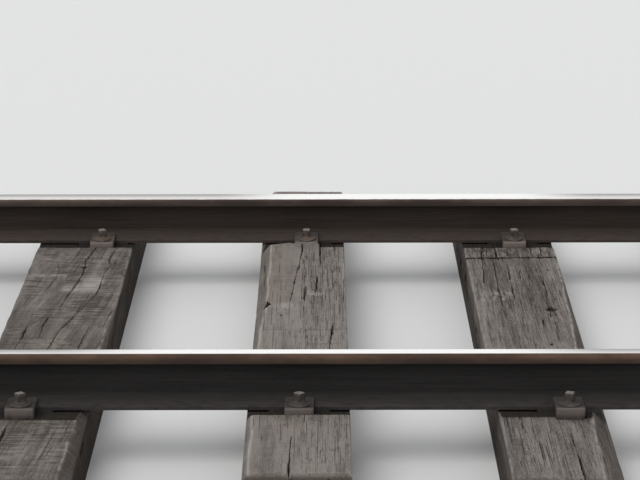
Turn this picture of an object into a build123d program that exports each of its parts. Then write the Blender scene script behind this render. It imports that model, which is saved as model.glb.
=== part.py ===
from build123d import *
import math
import os

# A length of plain railway track: two flat-bottom rails on wooden sleepers, in millimetres.
# X runs along the rails, +Y points to the left rail, and Z = 0 is the underside of the sleepers.

# Track layout
GAUGE = 1435.0            # between the inner faces of the two rail heads
GAUGE_DEPTH = 14.0        # how far below the rail top the gauge is measured
CANT_SLOPE = 1 / 20       # each rail leans towards the middle of the track by this slope
BAY_LENGTH = 630.0        # one sleeper and its share of the rails
SHIFTS_ALONG = (9.0, -12.0, 6.0, -11.0, 7.0, -5.0)     # of each sleeper from the middle of its bay
SHIFTS_ACROSS = (-8.0, 5.0, 0.0, 8.0, -4.0, 3.0)
# Of the fastenings from the middle of each sleeper, along the track
FASTENING_SHIFTS = {
    "left": (-6.0, 49.0, 11.0, 18.0, -18.0, 12.0),
    "right": (14.0, -14.0, 2.0, 33.0, 22.0, -9.0),
}

# Rail section, worn on top
RAIL_HEIGHT = 130.0
HEAD_WIDTH = 58.0
HEAD_SIDE = 24.5          # from the rail top to the lower corner of the head
HEAD_UNDER_SLOPE = 1 / 3
HEAD_CROWN = 1.0          # how far the running surface falls from its middle to its sides
HEAD_TOP_RADIUS = 11.0
HEAD_LOWER_RADIUS = 2.5
WEB_THICKNESS = 13.0
WEB_RADIUS = 13.0
FOOT_WIDTH = 115.0
FOOT_EDGE = 9.0           # thickness of the foot at its lip
FOOT_SLOPE = 1 / 4
FOOT_LIP_RADIUS = 2.5

# Sleepers, numbered along +X
SLEEPER_LENGTH = 2500.0
SEAT_LEVEL = 140.0        # height of the adzed seat under the middle of a rail
SLEEPER_WIDTHS = (250.0, 282.0, 246.0, 268.0, 240.0, 262.0)
SLEEPER_RISES = (8.0, 7.0, 20.0, 6.0, 9.0, 12.0)       # top of each sleeper above its seats
SLEEPER_CHAMFER = 5.0
SEAT_CLEARANCE = 3.0      # between a clip plate and the shoulder of the seat
WANE_STEEPNESS = 1.1      # fall of a waney edge for each millimetre that it takes off the top
# Waney edges as (sleeper number, side, width at the -Y end, width at the +Y end).
# A width below zero means that the edge turns square before that end.
WANES = (
    (1, 1, 24.0, -12.0),
    (2, 1, 25.0, -15.0),
    (3, -1, 22.0, 30.0),
    (4, 1, 60.0, -26.0),
    (5, -1, -14.0, 34.0),
    (6, 1, 12.0, 18.0),
)
KERF_SLEEPER = 4          # the sleeper with a saw cut beside its left seat
KERF_Y = 522.0
KERF_SKEW = 1.7           # degrees from square across the sleeper
KERF_WIDTH = 7.0
KERF_DEPTH = 15.0
# The main drying splits as (sleeper number, width, depth, path). Each point of a path is its distance
# across from the middle of the sleeper, and its place along Y. A path that starts past an end is open there.
PAST_END = SLEEPER_LENGTH / 2 + 100.0
SPLITS = (
    (1, 5.0, 16.0, ((-40.0, PAST_END), (-35.0, 1080.0), (-31.0, 890.0))),
    (1, 6.0, 18.0, ((58.0, -PAST_END), (50.0, -1040.0), (53.0, -890.0))),
    (2, 5.0, 18.0, (
        (93.0, 622.0), (82.0, 500.0), (95.0, 449.0), (81.0, 384.0), (77.0, 166.0), (47.0, 11.0),
        (11.0, -161.0), (-6.0, -332.0), (-24.0, -520.0))),
    (2, 4.5, 15.0, (
        (32.0, 622.0), (15.0, 496.0), (20.0, 343.0), (-14.0, 31.0), (-43.0, -42.0), (-79.0, -138.0),
        (-96.0, -430.0))),
    (2, 4.0, 14.0, ((85.0, -137.0), (74.0, -319.0), (60.0, -600.0))),
    (2, 5.0, 16.0, ((20.0, PAST_END), (28.0, 1080.0), (22.0, 890.0))),
    (2, 6.0, 18.0, ((-50.0, -PAST_END), (-44.0, -1060.0), (-38.0, -890.0))),
    (3, 4.5, 15.0, ((1.0, 622.0), (-4.0, 478.0), (-18.0, 262.0), (-30.0, 50.0))),
    (3, 4.0, 13.0, ((44.0, 293.0), (42.0, 200.0), (38.0, 110.0))),
    (3, 4.5, 18.0, ((85.0, -152.0), (75.0, -359.0), (70.0, -560.0))),
    (3, 5.0, 16.0, ((-20.0, -PAST_END), (-17.0, -1150.0), (-14.0, -1010.0))),
    (3, 5.0, 16.0, ((14.0, PAST_END), (12.0, 1130.0), (8.0, 1010.0))),
    (4, 4.5, 15.0, ((-54.0, 515.0), (-59.0, 312.0), (-60.0, 61.0), (-56.0, -35.0))),
    (4, 4.5, 14.0, ((-15.0, 470.0), (-22.0, 258.0), (-24.0, 75.0))),
    (4, 4.0, 12.0, ((73.0, 335.0), (71.0, 176.0), (69.0, 105.0))),
    (4, 6.0, 20.0, ((30.0, -PAST_END), (25.0, -1100.0), (22.0, -960.0))),
    (4, 5.0, 16.0, ((-12.0, PAST_END), (-8.0, 1120.0), (-4.0, 1000.0))),
    (5, 5.0, 16.0, ((-30.0, 600.0), (-14.0, 330.0), (-18.0, 60.0), (2.0, -240.0))),
    (5, 6.0, 18.0, ((40.0, -PAST_END), (37.0, -1150.0), (34.0, -1010.0))),
    (5, 5.0, 15.0, ((-34.0, PAST_END), (-32.0, 1160.0), (-30.0, 1060.0))),
    (6, 5.0, 14.0, ((26.0, 420.0), (30.0, 180.0), (20.0, -60.0))),
    (6, 4.5, 13.0, ((-52.0, -200.0), (-56.0, -400.0), (-58.0, -560.0))),
    (6, 6.0, 18.0, ((-10.0, -PAST_END), (-7.0, -1150.0), (-4.0, -1030.0))),
    (6, 5.0, 16.0, ((48.0, PAST_END), (46.0, 1150.0), (44.0, 1020.0))),
)

# Rail pads
PAD_THICKNESS = 5.0
PAD_LENGTH = 150.0
PAD_CORNER = 6.0

# Clip plates, one on each side of the rail foot
CLIP_WIDTH = 70.0         # along the rail
CLIP_BITE = 30.0          # how far the nose lies over the rail foot
CLIP_REACH = 62.0         # from the lip of the rail foot to the outer face of the heel
CLIP_NOSE = 8.0           # thickness at the tip of the nose
CLIP_BODY = 13.0          # thickness over the lip of the rail foot
CLIP_HEEL = 17.0          # length of the heel that stands on the seat
CLIP_CORNER = 7.0
CLIP_EDGE_RADIUS = 5.0
CLIP_HOLE = 26.0

# Screws with a square head on a round flared collar
SCREW_OFFSET = 30.0       # from the lip of the rail foot to the axis of a screw
SCREW_SHANK = 22.0
SCREW_LENGTH = 115.0      # below the collar
SCREW_TIP = 12.0
COLLAR_DIAMETER = 56.0
COLLAR_RIM = 4.5
COLLAR_HEIGHT = 14.0
COLLAR_NECK = 29.0        # diameter at which the collar meets the head
HEAD_SQUARE = 24.5        # at the rim of the collar, from where it tapers
HEAD_HEIGHT = 17.0        # above the collar
HEAD_TAPER = 5.0          # degrees on each face
HEAD_EDGE = 1.5
PILOT_CLEARANCE = 0.15    # round a shank in the sleeper
HEAD_TURN = 12.84         # degrees that the first screw head was turned; the others follow in squares

NEAR = 0.01               # for finding the corners of the rail section

CANT = math.atan(CANT_SLOPE)
FOOT_LEVEL = SEAT_LEVEL + PAD_THICKNESS
RAIL_OFFSET = (
    GAUGE / 2 + HEAD_WIDTH / 2 * math.cos(CANT) + (RAIL_HEIGHT - GAUGE_DEPTH) * math.sin(CANT)
)
RAIL_LENGTH = BAY_LENGTH * len(SLEEPER_WIDTHS)
CLIP_TOP = FOOT_EDGE + CLIP_BODY
SCREW_LINE = FOOT_WIDTH / 2 + SCREW_OFFSET
SEAT_REACH = FOOT_WIDTH / 2 + CLIP_REACH + SEAT_CLEARANCE
SIDES = {"left": 1, "right": -1}


def sleeper_x(number):
    """Middle of a sleeper along the track."""
    return (number - (len(SLEEPER_WIDTHS) + 1) / 2) * BAY_LENGTH + SHIFTS_ALONG[number - 1]


def seat_x(word, number):
    """Middle of the fastenings of the left or right rail on a sleeper."""
    return sleeper_x(number) + FASTENING_SHIFTS[word][number - 1]


def foot_top(lateral):
    """Height of the sloping top of the rail foot, at a distance from the middle of the rail."""
    return FOOT_EDGE + FOOT_SLOPE * (FOOT_WIDTH / 2 - abs(lateral))


def on_seat(shape, side, x=0.0):
    """Puts a shape from the rail's own frame onto the canted seat of the left or right rail.

    In that frame X runs along the rail, Y points outwards and Z = 0 is the underside of the foot."""
    placed = Location((x, RAIL_OFFSET, FOOT_LEVEL), (math.degrees(CANT), 0, 0)) * shape
    return placed if side > 0 else mirror(placed, about=Plane.XZ)


def corners(face, lateral, height):
    """The two vertices of a section at this distance each side of the middle, and this height."""
    return [
        v for v in face.vertices()
        if abs(abs(v.Y) - lateral) < NEAR and abs(v.Z - height) < NEAR
    ]


def rail_section():
    """The worn flat-bottom section, in the rail's own frame."""
    web = WEB_THICKNESS / 2
    head = HEAD_WIDTH / 2
    foot = FOOT_WIDTH / 2
    head_low = RAIL_HEIGHT - HEAD_SIDE
    head_root = head_low - HEAD_UNDER_SLOPE * (head - web)
    head_edge = RAIL_HEIGHT - HEAD_CROWN
    right_side = [
        (0, foot, 0), (0, foot, FOOT_EDGE), (0, web, foot_top(web)),
        (0, web, head_root), (0, head, head_low), (0, head, head_edge),
    ]
    left_side = [(x, -y, z) for x, y, z in reversed(right_side)]
    outline = Polyline(*left_side, *right_side)
    crown = ThreePointArc(right_side[-1], (0, 0, RAIL_HEIGHT), left_side[0])
    section = make_face([*outline.edges(), crown])
    rounds = (
        (head, head_edge, HEAD_TOP_RADIUS),
        (head, head_low, HEAD_LOWER_RADIUS),
        (web, head_root, WEB_RADIUS),
        (web, foot_top(web), WEB_RADIUS),
        (foot, FOOT_EDGE, FOOT_LIP_RADIUS),
    )
    for lateral, height, radius in rounds:
        section = fillet(corners(section, lateral, height), radius)
    return section


def rail(side):
    """A rail over all the bays, cut square at both ends."""
    bar = extrude(rail_section(), amount=RAIL_LENGTH / 2, dir=(1, 0, 0), both=True)
    return on_seat(bar, side)


def wane_plane(number, side, near, far):
    """The sloping plane of a waney edge, facing up and out of the wood."""
    half_length = SLEEPER_LENGTH / 2
    top = SEAT_LEVEL + SLEEPER_RISES[number - 1]
    edge = side * SLEEPER_WIDTHS[number - 1] / 2
    near_top = Vector(edge - side * near, -half_length, top)
    far_top = Vector(edge - side * far, half_length, top)
    down = Vector(side, 0, -WANE_STEEPNESS)
    normal = (far_top - near_top).cross(down)
    if normal.Z < 0:
        normal = -normal
    return Plane(origin=near_top, z_dir=normal)


def drying_split(width, depth, path):
    """A narrow slot along a path, with its floor at Z = -depth, pointed at both ends."""
    half = width / 2
    inner = path[1:-1]
    right_side = [(across + half, along) for across, along in inner]
    left_side = [(across - half, along) for across, along in reversed(inner)]
    outline = Polyline(path[0], *right_side, path[-1], *left_side, close=True)
    return Pos(0, 0, -depth) * extrude(make_face(outline), amount=2 * depth)


def sleeper(number):
    """A sawn timber with its waney edges, drying splits, adzed seats, pilot holes and any saw cut."""
    width = SLEEPER_WIDTHS[number - 1]
    top = SEAT_LEVEL + SLEEPER_RISES[number - 1]
    timber = Pos(0, 0, top / 2) * Box(width, SLEEPER_LENGTH, top)
    timber = chamfer(timber.edges().filter_by(Axis.Y), SLEEPER_CHAMFER)
    for wane_number, side, near, far in WANES:
        if wane_number == number:
            timber = split(timber, wane_plane(number, side, near, far), keep=Keep.BOTTOM)
    x = sleeper_x(number)
    timber = Pos(x, SHIFTS_ACROSS[number - 1], 0) * timber
    if number == KERF_SLEEPER:
        timber -= Pos(x, KERF_Y, top) * Rot(0, 0, KERF_SKEW) * Box(2 * width, KERF_WIDTH, 2 * KERF_DEPTH)
    for split_number, split_width, depth, path in SPLITS:
        if split_number == number:
            timber -= Pos(x, 0, top) * drying_split(split_width, depth, path)
    seat_height = 2 * max(SLEEPER_RISES) + 2 * SEAT_REACH * CANT_SLOPE
    seat_cut = Pos(0, 0, seat_height / 2 - PAD_THICKNESS) * Box(2 * width, 2 * SEAT_REACH, seat_height)
    hole_length = SCREW_LENGTH - CLIP_TOP + PILOT_CLEARANCE
    hole_radius = SCREW_SHANK / 2 + PILOT_CLEARANCE
    hole = Cylinder(hole_radius, hole_length, align=(Align.CENTER, Align.CENTER, Align.MAX))
    for word, side in SIDES.items():
        timber -= on_seat(seat_cut, side, x)
        for outward in (-1, 1):
            timber -= on_seat(Pos(0, outward * SCREW_LINE, 0) * hole, side, seat_x(word, number))
    return timber


def pad(side, x):
    """The thin pad between a rail foot and its seat."""
    outline = Plane.XY.offset(-PAD_THICKNESS) * RectangleRounded(PAD_LENGTH, FOOT_WIDTH, PAD_CORNER)
    return on_seat(extrude(outline, amount=PAD_THICKNESS), side, x)


def clip():
    """An arched plate with its nose on the rail foot and its heel on the seat, on the outer side."""
    tip = FOOT_WIDTH / 2 - CLIP_BITE
    lip = FOOT_WIDTH / 2
    front = lip + CLIP_REACH
    outline = Polyline(
        (0, tip, foot_top(tip)),
        (0, lip, foot_top(lip)),
        (0, front - CLIP_HEEL, foot_top(lip)),
        (0, front - CLIP_HEEL, -PAD_THICKNESS),
        (0, front, -PAD_THICKNESS),
        (0, front, CLIP_TOP),
        (0, lip, CLIP_TOP),
        (0, tip, foot_top(tip) + CLIP_NOSE),
        close=True,
    )
    plate = extrude(make_face(outline), amount=CLIP_WIDTH / 2, dir=(1, 0, 0), both=True)
    plate = fillet(plate.edges().filter_by(Axis.Z), CLIP_CORNER)
    top_front = plate.edges().filter_by(Axis.X).sort_by(Axis.Y)[-2:].sort_by(Axis.Z)[-1]
    plate = fillet(top_front, CLIP_EDGE_RADIUS)
    plate -= Pos(0, lip + SCREW_OFFSET, 0) * Cylinder(CLIP_HOLE / 2, 4 * CLIP_TOP)
    return plate


def screw():
    """A screw whose collar lies on the clip plate: bell-shaped collar, square head, plain shank."""
    rim = COLLAR_DIAMETER / 2
    neck = COLLAR_NECK / 2
    shank = SCREW_SHANK / 2
    lower = Polyline(
        (0, -SCREW_LENGTH), (shank / 3, -SCREW_LENGTH), (shank, SCREW_TIP - SCREW_LENGTH),
        (shank, 0), (rim, 0), (rim, COLLAR_RIM),
    )
    flare = RadiusArc((rim, COLLAR_RIM), (neck, COLLAR_HEIGHT), -COLLAR_DIAMETER / 2)
    upper = Polyline((neck, COLLAR_HEIGHT), (0, COLLAR_HEIGHT), (0, -SCREW_LENGTH))
    turned = revolve(Plane.XZ * make_face([*lower.edges(), flare, *upper.edges()]), axis=Axis.Z)
    rise = COLLAR_HEIGHT - COLLAR_RIM + HEAD_HEIGHT
    head = extrude(Rectangle(HEAD_SQUARE, HEAD_SQUARE), amount=rise, taper=HEAD_TAPER)
    head = chamfer(head.faces().sort_by(Axis.Z)[-1].edges(), HEAD_EDGE)
    return turned + Pos(0, 0, COLLAR_RIM) * head


def fastenings(word, number):
    """The clip plates and screws at one rail seat, inner and outer, as two groups."""
    side = SIDES[word]
    x = seat_x(word, number)
    clips = []
    screws = []
    for outward in (-1, 1):
        plate = clip() if outward > 0 else mirror(clip(), about=Plane.XZ)
        clips.append(on_seat(plate, side, x))
        turn = HEAD_TURN * (4 * number + 2 * (side > 0) + (outward > 0)) ** 2
        turned = Pos(0, outward * SCREW_LINE, CLIP_TOP) * Rot(0, 0, turn) * screw()
        screws.append(on_seat(turned, side, x))
    return Compound(children=clips), Compound(children=screws)


def build():
    """Every piece of the track by its name."""
    pieces = {}
    for word, side in SIDES.items():
        pieces[f"{word}_rail"] = rail(side)
    for number in range(1, len(SLEEPER_WIDTHS) + 1):
        pieces[f"sleeper_{number}"] = sleeper(number)
        for word, side in SIDES.items():
            clips, screws = fastenings(word, number)
            pieces[f"{word}_pad_{number}"] = pad(side, seat_x(word, number))
            pieces[f"{word}_clips_{number}"] = clips
            pieces[f"{word}_screws_{number}"] = screws
    return pieces


os.makedirs("parts", exist_ok=True)
for name, shape in build().items():
    export_step(shape, f"parts/{name}.step")
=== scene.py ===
import math

import bpy
import numpy as np
from bpy.props import FloatProperty, FloatVectorProperty, IntProperty, PointerProperty
from bpy.types import Operator, Panel, PropertyGroup
from mathutils import Matrix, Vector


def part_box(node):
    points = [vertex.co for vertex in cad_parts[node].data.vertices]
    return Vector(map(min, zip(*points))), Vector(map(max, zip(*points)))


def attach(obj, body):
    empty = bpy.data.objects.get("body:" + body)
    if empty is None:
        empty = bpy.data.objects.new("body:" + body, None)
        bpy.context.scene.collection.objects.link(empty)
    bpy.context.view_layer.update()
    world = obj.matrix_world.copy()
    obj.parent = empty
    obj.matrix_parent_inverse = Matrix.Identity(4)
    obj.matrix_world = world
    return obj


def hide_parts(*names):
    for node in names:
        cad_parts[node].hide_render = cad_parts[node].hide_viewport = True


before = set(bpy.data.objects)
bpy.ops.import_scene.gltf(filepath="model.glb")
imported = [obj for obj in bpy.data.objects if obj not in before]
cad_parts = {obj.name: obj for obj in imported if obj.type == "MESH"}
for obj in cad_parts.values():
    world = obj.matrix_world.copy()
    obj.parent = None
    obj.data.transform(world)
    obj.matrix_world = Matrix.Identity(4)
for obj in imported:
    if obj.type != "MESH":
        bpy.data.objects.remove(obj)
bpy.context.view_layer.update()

bl_info = {
    "name": "Railway Track Panel",
    "version": (1, 0, 0),
    "blender": (4, 5, 0),
    "location": "3D View > Sidebar > Track",
    "description": "Finishes plain track: worn rails, weathered sleepers, clips and screws",
    "category": "Object",
}

MM = 0.001
BODY = "root"
RAIL_WORDS = ("left", "right")
SLEEPER_NUMBERS = range(1, 1 + sum(name.startswith("sleeper_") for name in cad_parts))
BLACK, WHITE = (0, 0, 0), (1, 1, 1)
SHARP_WOOD, SHARP_STEEL = math.radians(48), math.radians(35)
FLOAT, INTEGER, COLOUR, GEOMETRY, MATERIAL = (
    f"NodeSocket{kind}" for kind in ("Float", "Int", "Color", "Geometry", "Material"))

# Sizes of the track in millimetres, as in the model of the frame
CANT = math.atan(1 / 20)
HALF_GAUGE = 717.5
HEAD_HALF = 29.0
GAUGE_LEVEL = 116.0    # over the underside of the foot
RAIL_OFFSET = HALF_GAUGE + HEAD_HALF * math.cos(CANT) + GAUGE_LEVEL * math.sin(CANT)
FOOT_LEVEL = 145.0
FOOT_HALF = 57.5
PAD_THICKNESS = 5.0
SCREW_LINE = FOOT_HALF + 30
CLIP_TIP = FOOT_HALF - 30
CLIP_FRONT = FOOT_HALF + 62
CLIP_TOP = 22.0
SEAT_REACH = CLIP_FRONT + 3
SCREW_LENGTH = 115.0
WANE_STEEPNESS = 1.1
# Waney edges: side, width at the -Y end and at the +Y end
WANES = {1: (1, 24, -12), 2: (1, 25, -15), 3: (-1, 22, 30),
         4: (1, 60, -26), 5: (-1, -14, 34), 6: (1, 12, 18)}


def seat_matrix(word, number, outward):
    """Takes a piece made for the left rail's outer side to one side of any seat, in metres."""
    low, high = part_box(f"{word}_pad_{number}")
    lean = Matrix.Rotation(CANT, 4, "X")
    half_turn = Matrix.Rotation(math.pi, 4, "Z")
    outer = Matrix.Identity(4) if outward else half_turn
    end = Matrix.Identity(4) if word == "left" else half_turn
    place = Matrix.Translation(end @ ((low + high) / 2))
    return end @ place @ lean @ Matrix.Translation((0, 0, PAD_THICKNESS / 2 * MM)) @ outer


# Settings that a user would change

def colour_setting(name, description, default):
    return FloatVectorProperty(
        name=name, description=description, default=default, subtype="COLOR", size=3, min=0, max=1)


def length_setting(name, description, default, low, high):
    """A length with its default and its limits in millimetres."""
    return FloatProperty(
        name=name, description=description, default=default * MM, min=low * MM, max=high * MM,
        subtype="DISTANCE", unit="LENGTH")


class RailSettings(PropertyGroup):
    """Colours of the rails."""
    polish: colour_setting(
        name="Running surface", description="Steel that the wheels keep bright",
        default=(0.93, 0.93, 0.92))
    # Painted reflection: the grey that the running surface takes in stretches along the rails, most
    # on its side towards +Y
    painted_dim_reflection: colour_setting(
        name="Duller stretches", description="The running surface where the wheels bear on it less",
        default=(0.245, 0.24, 0.235))
    head: colour_setting(
        name="Head, inner side", default=(0.108, 0.079, 0.066),
        description="Rust on the side of the head towards the middle of the track")
    head_outer: colour_setting(
        name="Head, outer side", default=(0.114, 0.069, 0.049),
        description="Rust on the side of the head away from the middle of the track")
    # Painted shade under the head together with grime: the web's colours are dark, the outer side's
    # darker still.
    web: colour_setting(
        name="Web, inner side", description="Grime on the web, towards the middle of the track",
        default=(0.0273, 0.0203, 0.0165))
    web_outer: colour_setting(
        name="Web, outer side", description="Grime on the web, away from the middle of the track",
        default=(0.0135, 0.0125, 0.0120))
    foot: colour_setting(
        name="Foot, inner side", default=(0.058, 0.0452, 0.0394),
        description="Dust on the top of the foot, towards the middle of the track")
    # Painted shade on the outer side: the outer foot's colour is darker than the inner one's, over
    # the dust.
    foot_outer: colour_setting(
        name="Foot, outer side", default=(0.0432, 0.0376, 0.0356),
        description="Dust on the top of the foot, away from the middle of the track")


class TimberSettings(PropertyGroup):
    """Sizes and colours of the sleepers."""
    relief: length_setting(
        name="Grain relief", default=0.9, low=0, high=3,
        description="Height of the weathered ridges over the soft grain between them")
    check_depth: length_setting(
        name="Check depth", description="Depth of the drying checks",
        default=7, low=0, high=20)
    seed: IntProperty(name="Seed", description="Sets where the checks lie", default=11, min=0)
    light: colour_setting(
        name="Raised grain", description="Bleached wood on the ridges",
        default=(0.262, 0.236, 0.218))
    dark: colour_setting(
        name="Soft grain", description="Wood between the ridges",
        default=(0.088, 0.076, 0.068))


class FasteningSettings(PropertyGroup):
    """Sizes and colours of the clip plates and screws."""
    head_width: length_setting(
        name="Screw head width", description="Across the flats of the square head",
        default=22.8, low=10, high=40)
    head_height: length_setting(
        name="Screw head height", description="Above the collar",
        default=17, low=5, high=40)
    collar_width: length_setting(
        name="Collar diameter", description="Across the flared collar",
        default=53, low=30, high=80)
    collar_height: length_setting(
        name="Collar height", description="From the clip plate to the head",
        default=14, low=4, high=25)
    clip_width: length_setting(
        name="Clip width", description="Along the rail",
        default=70, low=50, high=120)
    turn: FloatProperty(
        name="Turn", subtype="ANGLE", default=math.radians(12.84),
        description="How far the first screw head was turned; the others follow in squares")
    clip_rust: colour_setting(
        name="Clip rust", description="Main colour of the clip plates",
        default=(0.078, 0.061, 0.051))
    screw_rust: colour_setting(
        name="Screw rust", description="Main colour of the screws",
        default=(0.086, 0.062, 0.047))
    # Painted shade together with grime: the darker colour of the clip plates and screws on the
    # rails' outer sides
    outer_rust_and_shade: colour_setting(
        name="Outer rust", default=(0.040, 0.034, 0.030),
        description="Colour of the grimier clip plates and screws on the outer sides")


class StageSettings(PropertyGroup):
    """The floor, the light and the camera."""
    floor: colour_setting(
        name="Floor", description="Colour of the floor",
        default=(0.78, 0.78, 0.77))
    focal: FloatProperty(
        name="Focal length", description="Of the long lens, in millimetres on a 36 mm wide sensor",
        default=133.9, min=10, max=400)
    pitch: FloatProperty(
        name="Pitch", description="How far the camera looks down", subtype="ANGLE",
        default=math.radians(15.58))


# Node trees

class Value:
    """A node's output; arithmetic on it adds Math nodes to its tree."""

    def __init__(self, graph, socket):
        self.graph = graph
        self.socket = socket

    def __add__(self, other):
        return self.graph.math("ADD", self, other)

    def __sub__(self, other):
        return self.graph.math("SUBTRACT", self, other)

    def __rsub__(self, other):
        return self.graph.math("SUBTRACT", other, self)

    def __mul__(self, other):
        return self.graph.math("MULTIPLY", self, other)

    def __abs__(self):
        return self.graph.math("ABSOLUTE", self)


class Graph:
    """Adds nodes to a tree; an input takes a plain value or another node's output."""

    def __init__(self, tree):
        self.tree = tree

    def node(self, kind, inputs=None, **settings):
        node = self.tree.nodes.new(kind)
        for name, value in settings.items():
            setattr(node, name, value)
        self.feed(node, inputs or {})
        return node

    def feed(self, node, inputs):
        for name, value in inputs.items():
            socket, value = node.inputs[name], getattr(value, "socket", value)
            if isinstance(value, bpy.types.NodeSocket):
                self.tree.links.new(value, socket)
            else:
                socket.default_value = (*value, 1.0) if socket.type == "RGBA" else value

    def add(self, kind, inputs=None, output=0, **settings):
        """One output of a new node."""
        return Value(self, self.node(kind, inputs, **settings).outputs[output])

    def values(self, node):
        """The outputs of a node by name."""
        return {socket.name: Value(self, socket) for socket in node.outputs}

    def math(self, operation, first, second=0.0, clamp=False):
        inputs = {0: first, 1: second}
        return self.add("ShaderNodeMath", inputs, operation=operation, use_clamp=clamp)

    def scaled(self, vector, by):
        return self.add("ShaderNodeVectorMath", {0: vector, 1: by}, operation="MULTIPLY")

    def split(self, vector):
        """The X, Y and Z of a vector."""
        node = self.node("ShaderNodeSeparateXYZ", {0: vector})
        return [Value(self, socket) for socket in node.outputs]

    def mix(self, factor, first, second):
        inputs = {0: factor, 6: first, 7: second}
        return self.add("ShaderNodeMix", inputs, 2, data_type="RGBA")

    def layers(self, colour, *layers):
        """Lays colours over the first one in turn, each through its mask."""
        for mask, layer in layers:
            colour = self.mix(mask, colour, layer)
        return colour

    def ramp(self, value, low, high):
        """0 at low, 1 at high and a soft step between them."""
        inputs = {"Value": value, "From Min": low, "From Max": high}
        return self.add("ShaderNodeMapRange", inputs, interpolation_type="SMOOTHSTEP")

    def spread(self, value, low, high):
        """A noise value turned into one from low to high."""
        inputs = {"Value": value, "From Min": 0.3, "From Max": 0.7, "To Min": low, "To Max": high}
        return self.add("ShaderNodeMapRange", inputs)

    def noise(self, vector, scale, detail=3.0, rough=0.55):
        inputs = {"Vector": vector, "Scale": scale, "Detail": detail, "Roughness": rough}
        return self.add("ShaderNodeTexNoise", inputs)

    def grain(self, vector, scales, detail=3.0, rough=0.55):
        """Noise with its own scale along each axis."""
        return self.noise(self.scaled(vector, scales), 1.0, detail, rough)

    def attribute(self, name, output="Fac"):
        return self.add("ShaderNodeAttribute", output=output, attribute_name=name)

    def named(self, name, data_type="FLOAT"):
        """A named attribute in a Geometry Nodes tree."""
        return self.add("GeometryNodeInputNamedAttribute", {"Name": name}, data_type=data_type)

    def place(self):
        return self.add("ShaderNodeTexCoord", output="Object")


def new_tree(name, kind, inputs, outputs):
    """A node group with its named sockets, as a Graph with the values of its Group Input."""
    tree = bpy.data.node_groups.new(name, kind)
    for label, socket_type, default in inputs:
        socket = tree.interface.new_socket(label, in_out="INPUT", socket_type=socket_type)
        if default is not None:
            socket.default_value = default
    for label, socket_type in outputs:
        tree.interface.new_socket(label, in_out="OUTPUT", socket_type=socket_type)
    graph = Graph(tree)
    return graph, graph.values(graph.node("NodeGroupInput"))


def rust_group():
    """Flaking rust in three browns, with pits and flakes for the bump."""
    g, given = new_tree("Rust", "ShaderNodeTree", [
        ("Main", COLOUR, (0.12, 0.08, 0.06, 1.0)), ("Dark", COLOUR, (0.03, 0.022, 0.018, 1.0)),
        ("Orange", COLOUR, (0.19, 0.085, 0.04, 1.0)), ("Patch Scale", FLOAT, 18.0),
        ("Orange Share", FLOAT, 0.3), ("Stretch", "NodeSocketVector", (1.0, 1.0, 1.0)),
    ], [("Color", COLOUR), ("Height", FLOAT), ("Roughness", FLOAT)])
    place = g.scaled(g.place(), given["Stretch"])
    clouds = g.noise(place, given["Patch Scale"], 6, 0.62)
    fine = g.noise(place, given["Patch Scale"] * 14, 5, 0.65)
    flakes = g.add("ShaderNodeTexVoronoi", {
        "Vector": place, "Scale": given["Patch Scale"] * 7}, "Distance")
    colour = g.layers(
        given["Dark"],
        (g.ramp(clouds, 0.38, 0.62), given["Main"]),
        (g.ramp(fine, 0.5, 0.7) * given["Orange Share"], given["Orange"]),
        (g.ramp(fine, 0.5, 0.32) * 0.45, given["Dark"]))
    height = fine + flakes * 0.6 + clouds * 0.8
    rough = g.spread(fine, 0.75, 0.93)
    g.node("NodeGroupOutput", {"Color": colour, "Height": height, "Roughness": rough})
    return g.tree


def dust_group():
    """Fine dust and soil that lies on what faces up, as a mask."""
    g, given = new_tree("Dust", "ShaderNodeTree", [
        ("Amount", FLOAT, 0.5), ("Scale", FLOAT, 40.0),
    ], [("Mask", FLOAT)])
    up = g.split(g.add("ShaderNodeNewGeometry", output="Normal"))[2]
    clouds = g.noise(g.place(), given["Scale"], 6, 0.65)
    mask = g.ramp(up, 0.1, 0.9) * g.ramp(clouds, 0.38, 0.66) * given["Amount"]
    g.node("NodeGroupOutput", {"Mask": mask})
    return g.tree


GROUPS = {"Rust": rust_group, "Dust": dust_group}


def group_values(graph, name, inputs):
    """Places a shader node group in a material with the material's own values."""
    tree = bpy.data.node_groups.get(name) or GROUPS[name]()
    return graph.values(graph.node("ShaderNodeGroup", inputs, node_tree=tree))


def new_material(name, specular=0.5):
    """A material with one Principled shader, and the Graph of its nodes."""
    material = bpy.data.materials.new(name)
    material.use_nodes = True
    material.node_tree.nodes.clear()
    graph = Graph(material.node_tree)
    shader = graph.node("ShaderNodeBsdfPrincipled", {"Specular IOR Level": specular})
    graph.node("ShaderNodeOutputMaterial", {"Surface": shader.outputs[0]})
    return material, graph, shader


def fill(graph, shader, colour, rough, height, strength, distance):
    """Links a colour, a roughness and a bump to the shader."""
    inputs = {"Height": height, "Strength": strength, "Distance": distance}
    bump = graph.add("ShaderNodeBump", inputs)
    graph.feed(shader, {"Base Color": colour, "Roughness": rough, "Normal": bump})


def finish_nodes(material, names):
    """Gives nodes of the frame their material."""
    for name in names:
        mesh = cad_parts[name].data
        mesh.materials.clear()
        mesh.materials.append(material)


def placed(name, data):
    """A new object in the scene."""
    thing = bpy.data.objects.new(name, data)
    bpy.context.scene.collection.objects.link(thing)
    return thing


def add_piece(name, mesh, nodes):
    """Puts a finished mesh in the scene in the place of the frame's nodes."""
    piece = placed(name, mesh)
    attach(piece, BODY)
    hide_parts(*nodes)
    return piece


# Rails and pads

# Levels in mm above the underside of the rail's foot between which one colour gives way to the next
FOOT_DUST = (27, 10)
HEAD_BEGINS = (99, 105)
HEAD_SIDE = (104, 124)
RUNNING_SURFACE = (126.0, 128.3)
# How far out from the web the wheels polish the left rail, and how much less far the right one
POLISH_REACH, POLISH_LESS = 28.0, 9.0
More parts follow.
